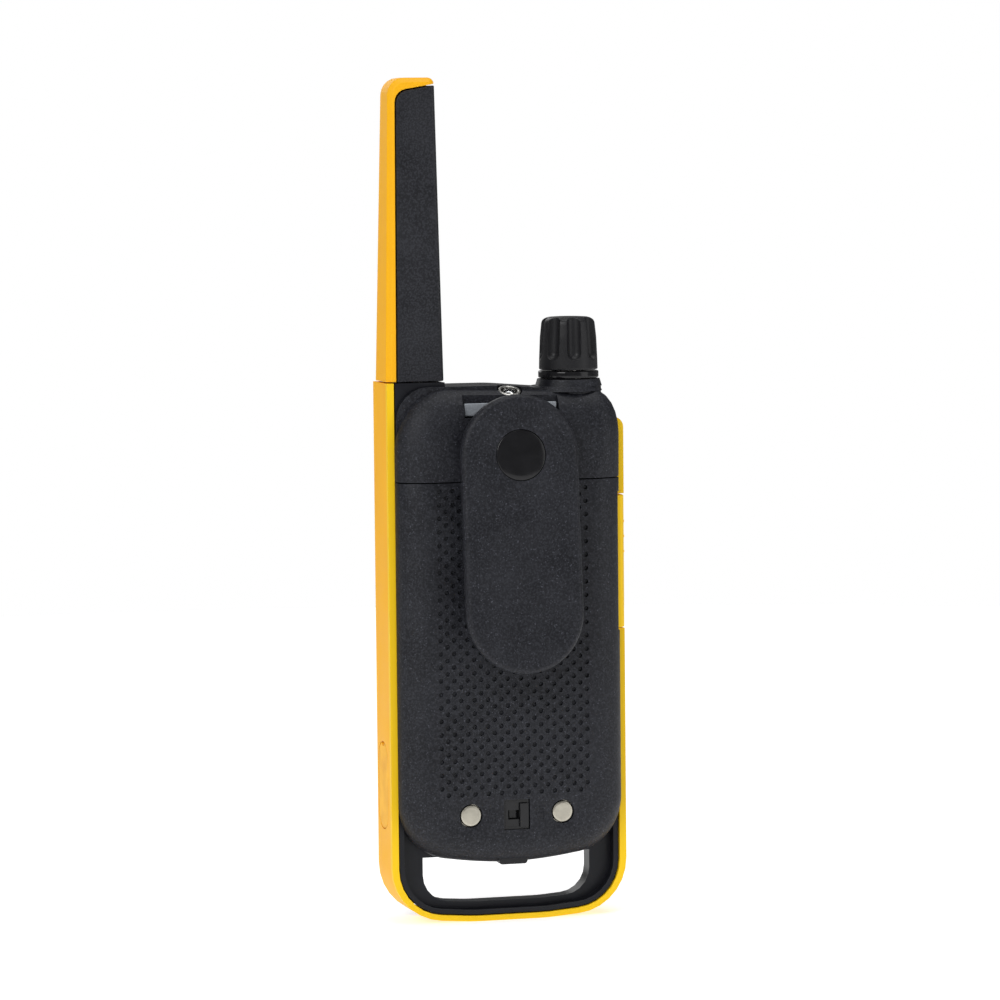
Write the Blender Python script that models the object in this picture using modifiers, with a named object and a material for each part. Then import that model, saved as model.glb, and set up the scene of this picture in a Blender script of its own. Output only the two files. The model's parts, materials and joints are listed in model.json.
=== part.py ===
"""Two way radio: case, bumper band, blade antenna, knob, belt clip, battery door and insides.

Lengths are millimetres; the helpers turn them into metres. +X is the antenna's side, +Y the back
(the belt clip's side) and +Z up. The origin is on the flat foot, at the middle of the band's depth.
"""

import math

import bmesh
import bpy
from mathutils import Matrix, Vector

MM = 0.001
GAP = 0.3                       # clearance between neighbouring pieces

# Driving dimensions
BAND_HALF = 29.05               # half width over the yellow band
BAND_SIDE = 1.65                # band thickness at the sides
BAND_FOOT = 1.3                 # band thickness under the foot
BAND_DEPTH = 6.5                # band reaches this far to the front and to the back
BAND_CORNER = 13.0
FOOT_FLAT = 9.0                 # half width of the flat under the foot
FOOT_RISE = 1.5                 # the foot rises by this towards each side
BAND_CHAMFER = 1.25
BAND_TOP_LEFT = 119.5           # where the band ends on the knob's side
ANTENNA_JOINT = 129.0
CASE_HALF = 27.1                # half width of the case inside the band
CASE_INSET = BAND_HALF - CASE_HALF + 0.05
RIM_FOOT = BAND_FOOT + GAP
CASE_WALL = 1.8
CASE_INNER = CASE_HALF - CASE_WALL
CASE_FOOT = 15.5
CASE_CORNER = 13.0              # radius of the case's lower corners
CASE_TOP = 126.7                # at the knob's side; the deck rises towards the antenna
DECK_RISE = 1.0
SPLIT_FRONT = -6.0              # front cover meets the rear housing
FLOOR_FRONT = -5.7
FLOOR_BACK = -4.2
SHOULDER_START = 6.8            # rear bulge starts behind the band
REAR_FACE = 12.8
FRONT_START = -6.8
FRONT_FACE = -11.5
COVER_WALL = 2.0
DOOR_WALL = 1.6
DOOR_TOP = 105.25
DOOR_FOOT = 14.15
HOUSING_SEAM = 105.55
WEB_BACK = 3.1
WEB_FRONT = -1.3
LOOP_HALF = 20.7
LOOP_FOOT = 4.3
KNOB_AXIS = (-17.0, 1.5)
CLIP_HALF = 14.3
CLIP_FOOT = 60.6
CLIP_TOP = 126.1
CLIP_THICKNESS = 2.8
CLIP_TOP_Y = 18.5
CLIP_BEND = 9.0                 # below its top the clip starts to lean out
CLIP_LEAN = 0.095
CLIP_PIN = (14.1, 116.0)        # y and z of the clip's hinge
CELL_RADIUS = 7.1
CELL_PITCH = 14.9
CELL_AXIS_Y = 3.2
CELL_FOOT = 51.5
CELL_HEIGHT = 50.5
SPEAKER_Z = 32.0
PORT_Y = -1.0
PORT_FOOT = 22.5
PORT_TOP = 43.0
JACK_Z = 27.3
PTT_FOOT = 69.2
PTT_TOP = 100.9
TORCH = (-0.7, 7.2, 126.6)     # on the rounded edge between the deck and the bulge
TORCH_TILT = 22.0               # degrees towards the back
CONTACT_X = 11.3
CONTACT_Z = 26.3
BADGE_Z = 111.9
FLUTES = 8
FLUTE_START = 41.0              # degrees round the knob from +X to the first flute
FLUTE_RADIUS = 1.75
KNOB_FOOT = 130.9
RING_TOP = KNOB_FOOT - GAP
RING_FOOT = 129.0
ANTENNA_ROD_X = 20.5
TONGUE = (0.8, 2.4)             # y of the sheath's tongue in the strip's groove
SCREW_PLACES = [(-17.5, 21.5), (17.5, 21.5), (-22.6, 100.0), (22.6, 100.0)]   # x and z
KEYS = {                        # centre x, centre z, width, height
    "key_minus": (-11.0, 71.0, 8.0, 5.4),
    "key_menu": (0.0, 71.0, 9.0, 6.4),
    "key_plus": (11.0, 71.0, 8.0, 5.4),
    "key_call": (-7.0, 60.0, 10.0, 5.4),
    "key_scan": (7.0, 60.0, 10.0, 5.4),
}

# Colours
YELLOW = (0.87, 0.47, 0.05)
BLACK = (0.027, 0.028, 0.031)
GLOSS_BLACK = (0.012, 0.012, 0.013)
GREY = (0.15, 0.16, 0.18)
STEEL = (0.56, 0.55, 0.52)
NICKEL = (0.48, 0.45, 0.38)
BOARD_GREEN = (0.03, 0.16, 0.08)
CLEAR = (0.75, 0.78, 0.80)
RUBBER_BLACK = (0.02, 0.02, 0.02)
CELL_WRAP = (0.10, 0.22, 0.30)
CONE_GREY = (0.09, 0.09, 0.10)

PARTS = None
CUTTERS = None


def empty_scene():
    for obj in list(bpy.data.objects):
        bpy.data.objects.remove(obj, do_unlink=True)


def new_collection(name):
    collection = bpy.data.collections.new(name)
    bpy.context.scene.collection.children.link(collection)
    return collection


# ---------------------------------------------------------------- shapes

def add(name, mesh, smooth=True):
    obj = bpy.data.objects.new(name, mesh)
    PARTS.objects.link(obj)
    if smooth:
        mesh.shade_smooth()
        mesh.set_sharp_from_angle(angle=math.radians(32))
    return obj


def mesh_from(bm, name):
    bmesh.ops.recalc_face_normals(bm, faces=bm.faces)
    mesh = bpy.data.meshes.new(name)
    bm.to_mesh(mesh)
    bm.free()
    return mesh


def block(name, low, high):
    """A box between two corners."""
    size = [(h - l) * MM for l, h in zip(low, high)]
    centre = [(h + l) / 2 * MM for l, h in zip(low, high)]
    bm = bmesh.new()
    bmesh.ops.create_cube(bm, size=1.0, matrix=Matrix.Diagonal((*size, 1.0)))
    bmesh.ops.translate(bm, vec=centre, verts=bm.verts)
    return add(name, mesh_from(bm, name), smooth=False)


def rod(name, start, end, radius, end_radius=None, segments=24):
    """A cylinder or cone from one point to another."""
    start, end = Vector(start) * MM, Vector(end) * MM
    run = end - start
    turn = Vector((0, 0, 1)).rotation_difference(run).to_matrix().to_4x4()
    place = Matrix.Translation((start + end) / 2) @ turn
    bm = bmesh.new()
    bmesh.ops.create_cone(
        bm, cap_ends=True, segments=segments, radius1=radius * MM,
        radius2=(radius if end_radius is None else end_radius) * MM, depth=run.length, matrix=place)
    return add(name, mesh_from(bm, name))


def turned(name, profile, centre, along="Z", segments=32):
    """A turned shape: (radius, height) pairs from top to bottom, at the centre, along an axis."""
    mesh = bpy.data.meshes.new(name)
    points = [(r * MM, 0.0, h * MM) for r, h in profile]
    closed = profile[0][0] > 0 and profile[-1][0] > 0
    edges = [(i, i + 1) for i in range(len(points) - 1)]
    if closed:
        edges.append((len(points) - 1, 0))
    mesh.from_pydata(points, edges, [])
    obj = add(name, mesh, smooth=False)
    screw = obj.modifiers.new("turn", "SCREW")
    screw.steps = screw.render_steps = segments
    screw.use_merge_vertices = True
    screw.merge_threshold = 0.00001
    screw.use_smooth_shade = True
    turns = {"Z": Matrix.Identity(4), "Y": Matrix.Rotation(math.radians(-90), 4, "X"),
             "torch": Matrix.Rotation(math.radians(-TORCH_TILT), 4, "X")}
    obj.matrix_world = Matrix.Translation(Vector(centre) * MM) @ turns[along]
    return obj


def fillet(corners, steps=5):
    """A closed outline from (x, y, radius) corners, each one rounded with an arc."""
    points = []
    count = len(corners)
    for i, (x, y, radius) in enumerate(corners):
        here = Vector((x, y))
        if radius <= 0:
            points.append(here)
            continue
        before = (Vector(corners[i - 1][:2]) - here).normalized()
        after = (Vector(corners[(i + 1) % count][:2]) - here).normalized()
        half = before.angle(after) / 2
        centre = here + (before + after).normalized() * radius / math.sin(half)
        first = here + before * radius / math.tan(half) - centre
        last = here + after * radius / math.tan(half) - centre
        sweep = math.atan2(first.x * last.y - first.y * last.x, first.dot(last))
        for step in range(steps + 1):
            turn = Matrix.Rotation(sweep * step / steps, 2)
            points.append(centre + turn @ first)
    return [tuple(p) for i, p in enumerate(points) if (p - points[i - 1]).length > 0.01]


def capsule(x_low, x_high, y_low, y_high, steps=8):
    """A rounded slot outline whose ends are half circles."""
    radius = min(x_high - x_low, y_high - y_low) / 2
    return fillet([(x_low, y_low, radius), (x_high, y_low, radius),
                   (x_high, y_high, radius), (x_low, y_high, radius)], steps)


def box_outline(x_low, x_high, y_low, y_high, radius, steps=4):
    return fillet([(x_low, y_low, radius), (x_high, y_low, radius),
                   (x_high, y_high, radius), (x_low, y_high, radius)], steps)


PLANES = {
    "XZ": Matrix(((1, 0, 0, 0), (0, 0, -1, 0), (0, 1, 0, 0), (0, 0, 0, 1))),
    "YZ": Matrix(((0, 0, 1, 0), (1, 0, 0, 0), (0, 1, 0, 0), (0, 0, 0, 1))),
    "XY": Matrix.Identity(4),
}


def as_mesh(obj):
    """Turn a curve object into a mesh object with the same name and place."""
    name = obj.name
    graph = bpy.context.evaluated_depsgraph_get()
    mesh = bpy.data.meshes.new_from_object(obj.evaluated_get(graph))
    place = obj.matrix_world.copy()
    bpy.data.objects.remove(obj, do_unlink=True)
    bm = bmesh.new()
    bm.from_mesh(mesh)
    bmesh.ops.remove_doubles(bm, verts=bm.verts, dist=0.000002)
    bmesh.ops.recalc_face_normals(bm, faces=bm.faces)
    bm.transform(place)
    bm.to_mesh(mesh)
    bm.free()
    mesh.name = name
    return add(name, mesh)


def plate(name, outline, low, high, plane="XZ"):
    """A flat outline in a plane, thick from low to high along the plane's normal."""
    curve = bpy.data.curves.new(name, "CURVE")
    curve.dimensions = "2D"
    curve.fill_mode = "BOTH"
    curve.extrude = abs(high - low) / 2 * MM
    spline = curve.splines.new("POLY")
    spline.points.add(len(outline) - 1)
    for point, (a, b) in zip(spline.points, outline):
        point.co = (a * MM, b * MM, 0.0, 1.0)
    spline.use_cyclic_u = True
    obj = bpy.data.objects.new(name, curve)
    PARTS.objects.link(obj)
    middle = (low + high) / 2 * MM
    shift = {"XZ": (0, middle, 0), "YZ": (middle, 0, 0), "XY": (0, 0, middle)}[plane]
    obj.matrix_world = Matrix.Translation(shift) @ PLANES[plane]
    bpy.context.view_layer.update()
    return as_mesh(obj)


def wire(name, points, radius):
    """A round wire along points."""
    curve = bpy.data.curves.new(name, "CURVE")
    curve.dimensions = "3D"
    curve.bevel_depth = radius * MM
    curve.bevel_resolution = 2
    curve.use_fill_caps = True
    spline = curve.splines.new("POLY")
    spline.points.add(len(points) - 1)
    for point, place in zip(spline.points, points):
        point.co = (*(c * MM for c in place), 1.0)
    obj = bpy.data.objects.new(name, curve)
    PARTS.objects.link(obj)
    bpy.context.view_layer.update()
    return as_mesh(obj)


def loft(name, rings):
    """A closed skin through rings of equally many points, capped at both ends."""
    bm = bmesh.new()
    rows = [[bm.verts.new(Vector(p) * MM) for p in ring] for ring in rings]
    count = len(rings[0])
    for lower, upper in zip(rows, rows[1:]):
        for i in range(count):
            j = (i + 1) % count
            bm.faces.new((lower[i], lower[j], upper[j], upper[i]))
    bm.faces.new(rows[0])
    bm.faces.new(rows[-1])
    bmesh.ops.triangulate(bm, faces=[face for face in bm.faces if len(face.verts) == 4])
    return add(name, mesh_from(bm, name))


# ---------------------------------------------------------------- operations

def retire(obj):
    """Move a cutter out of the parts, hidden from renders."""
    PARTS.objects.unlink(obj)
    CUTTERS.objects.link(obj)
    obj.hide_render = True
    obj.display_type = "WIRE"


def combine(target, tools, operation):
    for tool in tools:
        modifier = target.modifiers.new(tool.name, "BOOLEAN")
        modifier.operation = operation
        modifier.solver = "EXACT"
        modifier.object = tool
        retire(tool)
    return target


def cut(target, *tools):
    return combine(target, tools, "DIFFERENCE")


def join(target, *tools):
    return combine(target, tools, "UNION")


def keep(target, *tools):
    return combine(target, tools, "INTERSECT")


def bevel(obj, width, segments=1, angle=35):
    modifier = obj.modifiers.new("edges", "BEVEL")
    modifier.width = width * MM
    modifier.segments = segments
    modifier.limit_method = "ANGLE"
    modifier.angle_limit = math.radians(angle)
    return obj


def paint(obj, colour, roughness=0.5, metallic=0.0):
    material = bpy.data.materials.new(obj.name)
    material.use_nodes = True
    shader = material.node_tree.nodes["Principled BSDF"]
    shader.inputs["Base Color"].default_value = (*colour, 1.0)
    shader.inputs["Roughness"].default_value = roughness
    shader.inputs["Metallic"].default_value = metallic
    material.diffuse_color = (*colour, 1.0)
    obj.data.materials.clear()
    obj.data.materials.append(material)
    return obj


def set_origin(obj, point):
    """Put the object's origin on a joint axis, leaving its shape where it is."""
    place = Vector(point) * MM
    obj.data.transform(obj.matrix_world)
    obj.data.transform(Matrix.Translation(-place))
    obj.matrix_world = Matrix.Translation(place)
    return obj


# ---------------------------------------------------------------- case surfaces

def dome_rings(stations, start, face, steps=6):
    """Rings of a shoulder that rolls from an upright rim at start to a flat face.

    Each station is (centre x, centre z, radius x, radius z, inset x, inset z, first degree, last
    degree, arc steps), where the insets are how far the arc has drawn in at the flat face.
    """
    rings = []
    for step in range(steps + 1):
        angle = math.pi / 2 * step / steps
        inset = 1 - math.cos(angle)
        y = start + (face - start) * math.sin(angle)
        ring = []
        for cx, cz, rx, rz, ex, ez, first, last, arc in stations:
            for i in range(arc + 1):
                turn = math.radians(first + (last - first) * i / max(arc, 1))
                ring.append((cx + (rx - ex * inset) * math.cos(turn), y,
                             cz + (rz - ez * inset) * math.sin(turn)))
        rings.append(ring)
    return rings


def rear_stations(right=0.0, left=0.0, ends=0.0):
    """The rear bulge's outline, from its waist on the antenna's side; the arguments thin it."""
    return [
        (27.5 - right, 105.4, 0.0, 0.0, 8.0 - right, 0.0, 0, 0, 0),
        (15.0, 113.5, 12.5 - right, 13.7 - ends, 8.0 - right, 12.5 - ends, 0, 90, 6),
        (-21.5, 116.0, 6.0 - left, 10.2 - ends, 5.6 - left, 10.0 - ends, 90, 180, 6),
        (-27.5 + left, 105.4, 0.0, 0.0, 8.0 - left, 0.0, 180, 180, 0),
        (-14.5, 29.0, 13.0 - left, 13.5 - ends, 8.0 - left, 6.0 - ends, 180, 265, 7),
        (0.0, DOOR_FOOT + ends, 0.0, 0.0, 0.0, 6.0 - ends, 270, 270, 0),
        (14.5, 29.0, 13.0 - right, 13.5 - ends, 8.0 - right, 6.0 - ends, 275, 360, 7),
    ]


def front_stations():
    """The front cover's outline: the same rounded rectangle with a tighter roll."""
    return [
        (17.5, 116.7, 10.0, 10.0, 4.0, 3.0, 0, 90, 5),
        (-19.5, 118.7, 8.0, 8.0, 4.0, 3.0, 90, 180, 5),
        (-14.5, 29.0, 13.0, 12.6, 4.0, 3.0, 180, 265, 7),
        (0.0, DOOR_FOOT - 0.2, 0.0, 0.0, 0.0, 3.0, 270, 270, 0),
        (14.5, 29.0, 13.0, 12.6, 4.0, 3.0, 275, 360, 7),
    ]


def case_outline(inset, top, top_radius=8.0):
    """The case's outline drawn in by inset, up to the given height."""
    half, foot, radius = CASE_HALF - inset, CASE_FOOT + inset, CASE_CORNER - inset
    return fillet([(-half, foot, radius), (half, foot, radius), (half, top, top_radius),
                   (-half, top, top_radius)], steps=6)


def deck_outline():
    """The case's full outline, whose deck rises a little from the knob's side to the antenna's."""
    top = CASE_TOP + DECK_RISE
    return fillet([(-CASE_HALF, CASE_FOOT, CASE_CORNER), (CASE_HALF, CASE_FOOT, CASE_CORNER),
                   (CASE_HALF, top, 8.0), (1.0, top, 50.0), (-11.0, CASE_TOP, 50.0),
                   (-CASE_HALF, CASE_TOP, 8.0)], steps=6)


def foot_corners(inset, foot):
    """The foot's corners: a short flat, a slow rise to each side and a wide round up the sides."""
    half, side = BAND_HALF - inset, foot + FOOT_RISE
    return [(-half, side, BAND_CORNER - inset), (-FOOT_FLAT, foot, 60.0), (FOOT_FLAT, foot, 60.0),
            (half, side, BAND_CORNER - inset)]


def foot_outline(inset, foot, top):
    half = BAND_HALF - inset
    return fillet(foot_corners(inset, foot) + [(half, top, 0), (-half, top, 0)], steps=7)


# ---------------------------------------------------------------- case

def torch_point(along):
    """A point on the torch's axis, so far out from its seat."""
    x, y, z = TORCH
    tilt = math.radians(TORCH_TILT)
    return (x, y + along * math.sin(tilt), z + along * math.cos(tilt))


def make_rear_housing():
    """Tray, upper bulge, antenna base, knob collar and the web around the foot's loop, in one."""
    housing = plate("rear_housing", deck_outline(), FLOOR_FRONT, SHOULDER_START + 0.5)
    low_rim = block("low_rim", (-40, BAND_DEPTH, 0), (40, 40, HOUSING_SEAM))
    bulge = loft("upper_bulge", dome_rings(rear_stations(), SHOULDER_START, REAR_FACE))
    bulge_low = block("bulge_low", (-40, 0, 0), (40, 40, HOUSING_SEAM))
    cut(bulge, bulge_low)
    cut(housing, low_rim)
    antenna_base = plate(
        "antenna_base",
        [(13.0, 109.0), (CASE_HALF - 0.1, 109.0), (CASE_HALF - 0.1, ANTENNA_JOINT - GAP),
         (14.9, ANTENNA_JOINT - GAP)], -5.5, 6.2)
    x, y = KNOB_AXIS
    collar_seat = CASE_TOP + GAP
    collar = rod("collar", (x, y, collar_seat), (x, y, RING_FOOT - GAP), 8.0, 7.5, segments=32)
    collar_root = rod("collar_root", (x, y, 114.0), (x, y, collar_seat + 0.15), 7.8, segments=32)
    flare_x = x + 0.9
    collar_flare = rod("collar_flare", (flare_x, y, CASE_TOP - 0.8), (flare_x, y, collar_seat + 0.1),
                       8.9, 8.3, segments=32)
    for root in (collar_root, collar_flare):
        cut(root, block("collar_front", (-40, -20, 100), (40, FLOOR_FRONT + 0.05, 140)))
    web = plate("web", foot_outline(CASE_INSET + 0.15, RIM_FOOT + 0.15, 36.0), WEB_FRONT, WEB_BACK)
    rim = plate("rim", foot_outline(CASE_INSET, RIM_FOOT, 34.0), FLOOR_FRONT + 0.1, BAND_DEPTH - 0.5)
    cut(rim, plate("rim_hole", foot_outline(CASE_INSET + 1.1, RIM_FOOT + 1.1, 40.0), -20, 20))
    join(housing, bulge, antenna_base, collar_root, collar_flare, collar, web, rim)

    loop = plate("loop_hole", fillet([
        (-LOOP_HALF, LOOP_FOOT + 0.9, 6.5), (-FOOT_FLAT, LOOP_FOOT, 60.0), (FOOT_FLAT, LOOP_FOOT, 60.0),
        (LOOP_HALF, LOOP_FOOT + 0.9, 6.5), (LOOP_HALF, CASE_FOOT - 0.1, 0),
        (-LOOP_HALF, CASE_FOOT - 0.1, 0)]), -20, 20)
    cell_bay = plate("cell_bay", box_outline(-CASE_INNER, CASE_INNER, 47.5, 103.5, 1.5, 2),
                     FLOOR_BACK, 30)
    low_bay = plate("low_bay", case_outline(CASE_WALL, 46.0, 1.0),
                    FLOOR_BACK, 30)
    room = plate("upper_room", box_outline(-CASE_INNER, CASE_INNER, 107.5, 122.0, 3.0, 3), -20, 5.5)
    deep_room = plate("deep_room", box_outline(-13, 13, 107.5, 119.0, 2.0, 2), 5.0, 9.2)
    divider_top = block("divider_top", (-CASE_INNER, 4.7, 45.0), (CASE_INNER, 30, 48.5))
    cut(housing, loop, cell_bay, low_bay, room, deep_room, divider_top)
    cut(housing,
        rod("shaft_hole", (x, y, 120), (x, y, 140), 3.9),
        rod("torch_recess", torch_point(-2.0), torch_point(12.0), 3.1),
        rod("torch_hole", torch_point(-8.0), torch_point(-1.0), 1.9, segments=16),
        rod("antenna_hole", (ANTENNA_ROD_X, 0.6, 120), (ANTENNA_ROD_X, 0.6, 140), 2.3,
            segments=16),
        rod("magnet_hole", (0, -8, SPEAKER_Z), (0, 0, SPEAKER_Z), 14.5, segments=40),
        block("rail_pocket", (-11.7, 9.4, 120.4), (11.7, 20, 130)),
        block("bracket_pocket", (-8.8, 11.0, 110.5), (8.8, 20, 119.8)),
        block("button_window", (-30, -2.0, 82.0), (-25, 2.0, 88.0)),
        block("button_pocket", (-30, -4.4, PTT_FOOT - 0.4), (-26.3, 7.2, PTT_TOP + 0.4)),
        plate("charge_window", capsule(-3.4, 0.4, 32.3, 40.7), 25, 30, plane="YZ"),
        rod("jack_window", (23.5, PORT_Y, JACK_Z), (30, PORT_Y, JACK_Z), 3.0))
    for screw_x, screw_z in SCREW_PLACES:
        cut(housing, rod("screw_hole", (screw_x, -8, screw_z), (screw_x, 0, screw_z), 1.3, segments=12))
    return paint(housing, BLACK, 0.55)


def key_outline(name, grow):
    x, z, width, height = KEYS[name]
    return capsule(x - width / 2 - grow, x + width / 2 + grow, z - height / 2 - grow,
                   z + height / 2 + grow, steps=3)


def make_front_cover():
    cover = loft("front_cover", dome_rings(front_stations(), FRONT_START, FRONT_FACE, steps=4))
    rim = plate("cover_rim", deck_outline(), -8.0, SPLIT_FRONT)
    join(cover, rim)
    hollow = plate("cover_hollow", case_outline(CASE_WALL, CASE_TOP - CASE_WALL, 6.2),
                   FRONT_FACE + COVER_WALL, 0)
    cut(cover, hollow)
    for x, z in SCREW_PLACES:
        boss = rod("boss", (x, -10.5, z), (x, SPLIT_FRONT - 0.1, z), 2.4, segments=16)
        cut(boss, rod("boss_bore", (x, -9.4, z), (x, 0, z), 1.3, segments=12))
        join(cover, boss)
    cut(cover,
        plate("window_pocket", box_outline(-17.8, 17.8, 79.2, 106.8, 3.0), -20, -10.3),
        plate("window_hole", box_outline(-15.0, 15.0, 82.0, 104.0, 1.5, 2), -20, 0))
    for name in KEYS:
        cut(cover, plate("key_hole", key_outline(name, GAP), -20, 0))
    for row in range(-3, 4):
        half = math.sqrt(12.5 ** 2 - (row * 3.4) ** 2)
        z = SPEAKER_Z + row * 3.4
        cut(cover, plate("grille_slot", capsule(-half, half, z - 0.65, z + 0.65, steps=2), -20, 0))
    cut(cover, rod("mic_hole", (17.5, -20, 52.5), (17.5, 0, 52.5), 0.7, segments=12))
    return paint(cover, BLACK, 0.5)


def make_bumper_band():
    outline = fillet(foot_corners(0.0, 0.0) + [
        (BAND_HALF, 150.0, 0), (-20.0, 150.0, 0), (-20.0, BAND_TOP_LEFT, 0),
        (-BAND_HALF, BAND_TOP_LEFT, 2.4)], steps=7)
    band = plate("bumper_band", outline, -BAND_DEPTH, BAND_DEPTH)
    bevel(band, BAND_CHAMFER, angle=50)
    inner = plate("band_inner", foot_outline(BAND_SIDE, BAND_FOOT, 170.0), -20, 20)
    cut(band, inner,
        block("band_top_right", (0, -20, ANTENNA_JOINT - GAP), (40, 20, 160)),
        block("button_gap", (-40, -4.3, PTT_FOOT - GAP), (0, 20, PTT_TOP + GAP)),
        plate("port_gap", capsule(PORT_Y - 4.2 - GAP, PORT_Y + 4.2 + GAP, PORT_FOOT - GAP,
                                  PORT_TOP + GAP), 20, 40, plane="YZ"))
    return paint(band, YELLOW, 0.45)


def antenna_inner(grow):
    """The sheath's outline under the strip, grown towards it; it runs on below the joint."""
    return fillet([(0.0, 110.0, 0), (26.35 + grow, ANTENNA_JOINT, 0), (25.9 + grow, 197.0 + grow, 3.2),
                   (0.0, 201.3 + grow, 0)])


def make_antenna():
    """A tapered blade: a black sheath with a yellow strip tongued over its outer side and its tip."""
    blank_foot = ANTENNA_JOINT - 4.0
    side = [(14.8, blank_foot), (BAND_HALF, blank_foot), (27.7, 200.4), (16.4, 200.4)]
    whole = fillet([(*p, r) for p, r in zip(side, (0.0, 0.0, 4.0, 1.6))])
    blade = [(-5.65, blank_foot), (6.3, blank_foot), (5.9, 200.4), (-2.6, 200.4)]

    def blank(name, segments):
        """The whole blade with its long edges chamfered and its foot cut square."""
        body = plate(name, whole, -10, 10)
        keep(body, plate(name + "_wedge", blade, -5, 60, plane="YZ"))
        bevel(body, 1.1, segments=segments, angle=50)
        cut(body, block(name + "_foot", (0, -20, 100), (40, 20, ANTENNA_JOINT)))
        return body

    sheath = blank("antenna_sheath", 2)
    keep(sheath, plate("sheath_inner", antenna_inner(0.0), -20, 20))
    tongue = plate("tongue", antenna_inner(0.8), *TONGUE)
    keep(tongue, plate("tongue_ends", [(17.6, ANTENNA_JOINT + 1.0), (40, ANTENNA_JOINT + 1.0), (40, 210),
                                       (17.6, 210)], -20, 20))
    join(sheath, tongue)
    cut(sheath, rod("sheath_bore", (ANTENNA_ROD_X, 0.6, 120), (ANTENNA_ROD_X, 1.4, 186), 2.3,
                    segments=16))
    strip = blank("antenna_strip", 1)
    cut(strip, plate("strip_inner", antenna_inner(GAP), -20, 20),
        plate("groove", antenna_inner(0.8 + GAP), TONGUE[0] - GAP, TONGUE[1] + GAP))
    antenna_rod = rod("antenna_rod", (ANTENNA_ROD_X, 0.6, 117.5), (ANTENNA_ROD_X, 1.4, 185), 1.8,
                      segments=16)
    contact = block("antenna_contact", (18.5, -6.0, 112.0), (22.5, 3.0, 112.6))
    upright = block("contact_up", (18.5, -0.8, 112.3), (22.5, -0.2, 117.2))
    join(contact, upright)
    return [paint(sheath, BLACK, 0.6), paint(strip, YELLOW, 0.45), paint(antenna_rod, STEEL, 0.35, 1.0),
            paint(contact, NICKEL, 0.35, 1.0)]


# ---------------------------------------------------------------- battery door

def make_battery_door():
    door = loft("battery_door", dome_rings(rear_stations(), SHOULDER_START, REAR_FACE))
    hollow = loft("door_hollow", dome_rings(rear_stations(DOOR_WALL, 3.7, DOOR_WALL),
                                            SHOULDER_START - 1.0, REAR_FACE - DOOR_WALL))
    cut(hollow, block("hollow_top", (-40, 0, DOOR_TOP - DOOR_WALL), (40, 40, 140)))
    tab = plate("pull_tab", box_outline(-3.2, 3.8, 13.95, 17.0, 0.8, 3), 7.6, 11.6)
    join(door, tab)
    cut(door, block("door_top", (-40, 0, DOOR_TOP), (40, 40, 140)), hollow,
        block("button_notch", (-40, 0, PTT_FOOT - 0.6), (-25.5, 9.6, PTT_TOP + 1.1)),
        plate("latch_recess", box_outline(-3.2, 3.2, 22.5, 29.7, 0.6, 2), REAR_FACE - 0.8, 20),
        plate("latch_slot", box_outline(-2.75, 2.15, 24.6, 27.4, 0.3, 1), 0, 20))
    for x in (-CONTACT_X, CONTACT_X):
        cut(door, rod("contact_hole", (x, 8, CONTACT_Z), (x, 20, CONTACT_Z), 2.8))
    set_origin(door, (0, REAR_FACE, DOOR_TOP))
    return paint(door, BLACK, 0.55)


def make_latch():
    """A slider with a ribbed grip outside, a stem through the slot and a bolt plate inside."""
    latch = block("door_latch", (-2.85, 12.3, 23.05), (-0.75, 12.95, 28.8))
    join(latch, block("stem", (-2.4, 10.4, 25.0), (-1.2, 12.5, 27.0)),
         block("bolt", (-6.0, 9.8, 24.0), (1.4, 10.8, 28.0)))
    set_origin(latch, (-1.8, 12.3, 26.0))
    return paint(latch, GLOSS_BLACK, 0.4)


def make_contacts():
    contacts = []
    for name, x in (("charge_contact_right", CONTACT_X), ("charge_contact_left", -CONTACT_X)):
        profile = [(0, 12.7), (2.2, 12.7), (2.5, 12.45), (2.5, 10.9), (3.3, 10.9), (3.3, 10.2),
                   (0, 10.2)]
        contact = turned(name, profile, (x, 0, CONTACT_Z), along="Y", segments=24)
        contacts.append(paint(contact, NICKEL, 0.3, 1.0))
    return contacts


# ---------------------------------------------------------------- belt clip

def clip_y(z):
    """The clip's outer face: nearly upright at its top, then leaning out towards its foot."""
    drop = CLIP_TOP - z - CLIP_BEND
    return CLIP_TOP_Y + CLIP_LEAN * (math.sqrt(drop ** 2 + 36.0) + drop) / 2


def make_belt_clip():
    heights = [CLIP_TOP + 1.0 - 67.0 * i / 9 for i in range(10)]
    outer = [(clip_y(z), z) for z in heights]
    inner = [(clip_y(z) - CLIP_THICKNESS, z) for z in reversed(heights)]
    clip = plate("belt_clip", outer + inner, -20, 20, plane="YZ")
    keep(clip, plate("clip_outline", capsule(-CLIP_HALF, CLIP_HALF, CLIP_FOOT, CLIP_TOP, 12), 0, 40))
    bevel(clip, 0.7, angle=60)
    pin_y, pin_z = CLIP_PIN
    for side in (-1, 1):
        near, far = side * 4.8, side * 6.7
        ear = block("clip_ear", (min(near, far), pin_y, pin_z - 1.7),
                    (max(near, far), clip_y(pin_z) - 1.5, pin_z + 1.7))
        round_end = rod("ear_end", (near, pin_y, pin_z), (far, pin_y, pin_z), 1.7, segments=20)
        join(clip, ear, round_end)
    cut(clip, rod("pin_hole", (-7, pin_y, pin_z), (7, pin_y, pin_z), 1.05, segments=16),
        rod("badge_recess", (0, clip_y(BADGE_Z) - 0.9, BADGE_Z), (0, 30, BADGE_Z), 6.1, segments=32))
    set_origin(clip, (0, pin_y, pin_z))
    return paint(clip, BLACK, 0.5)


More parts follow.
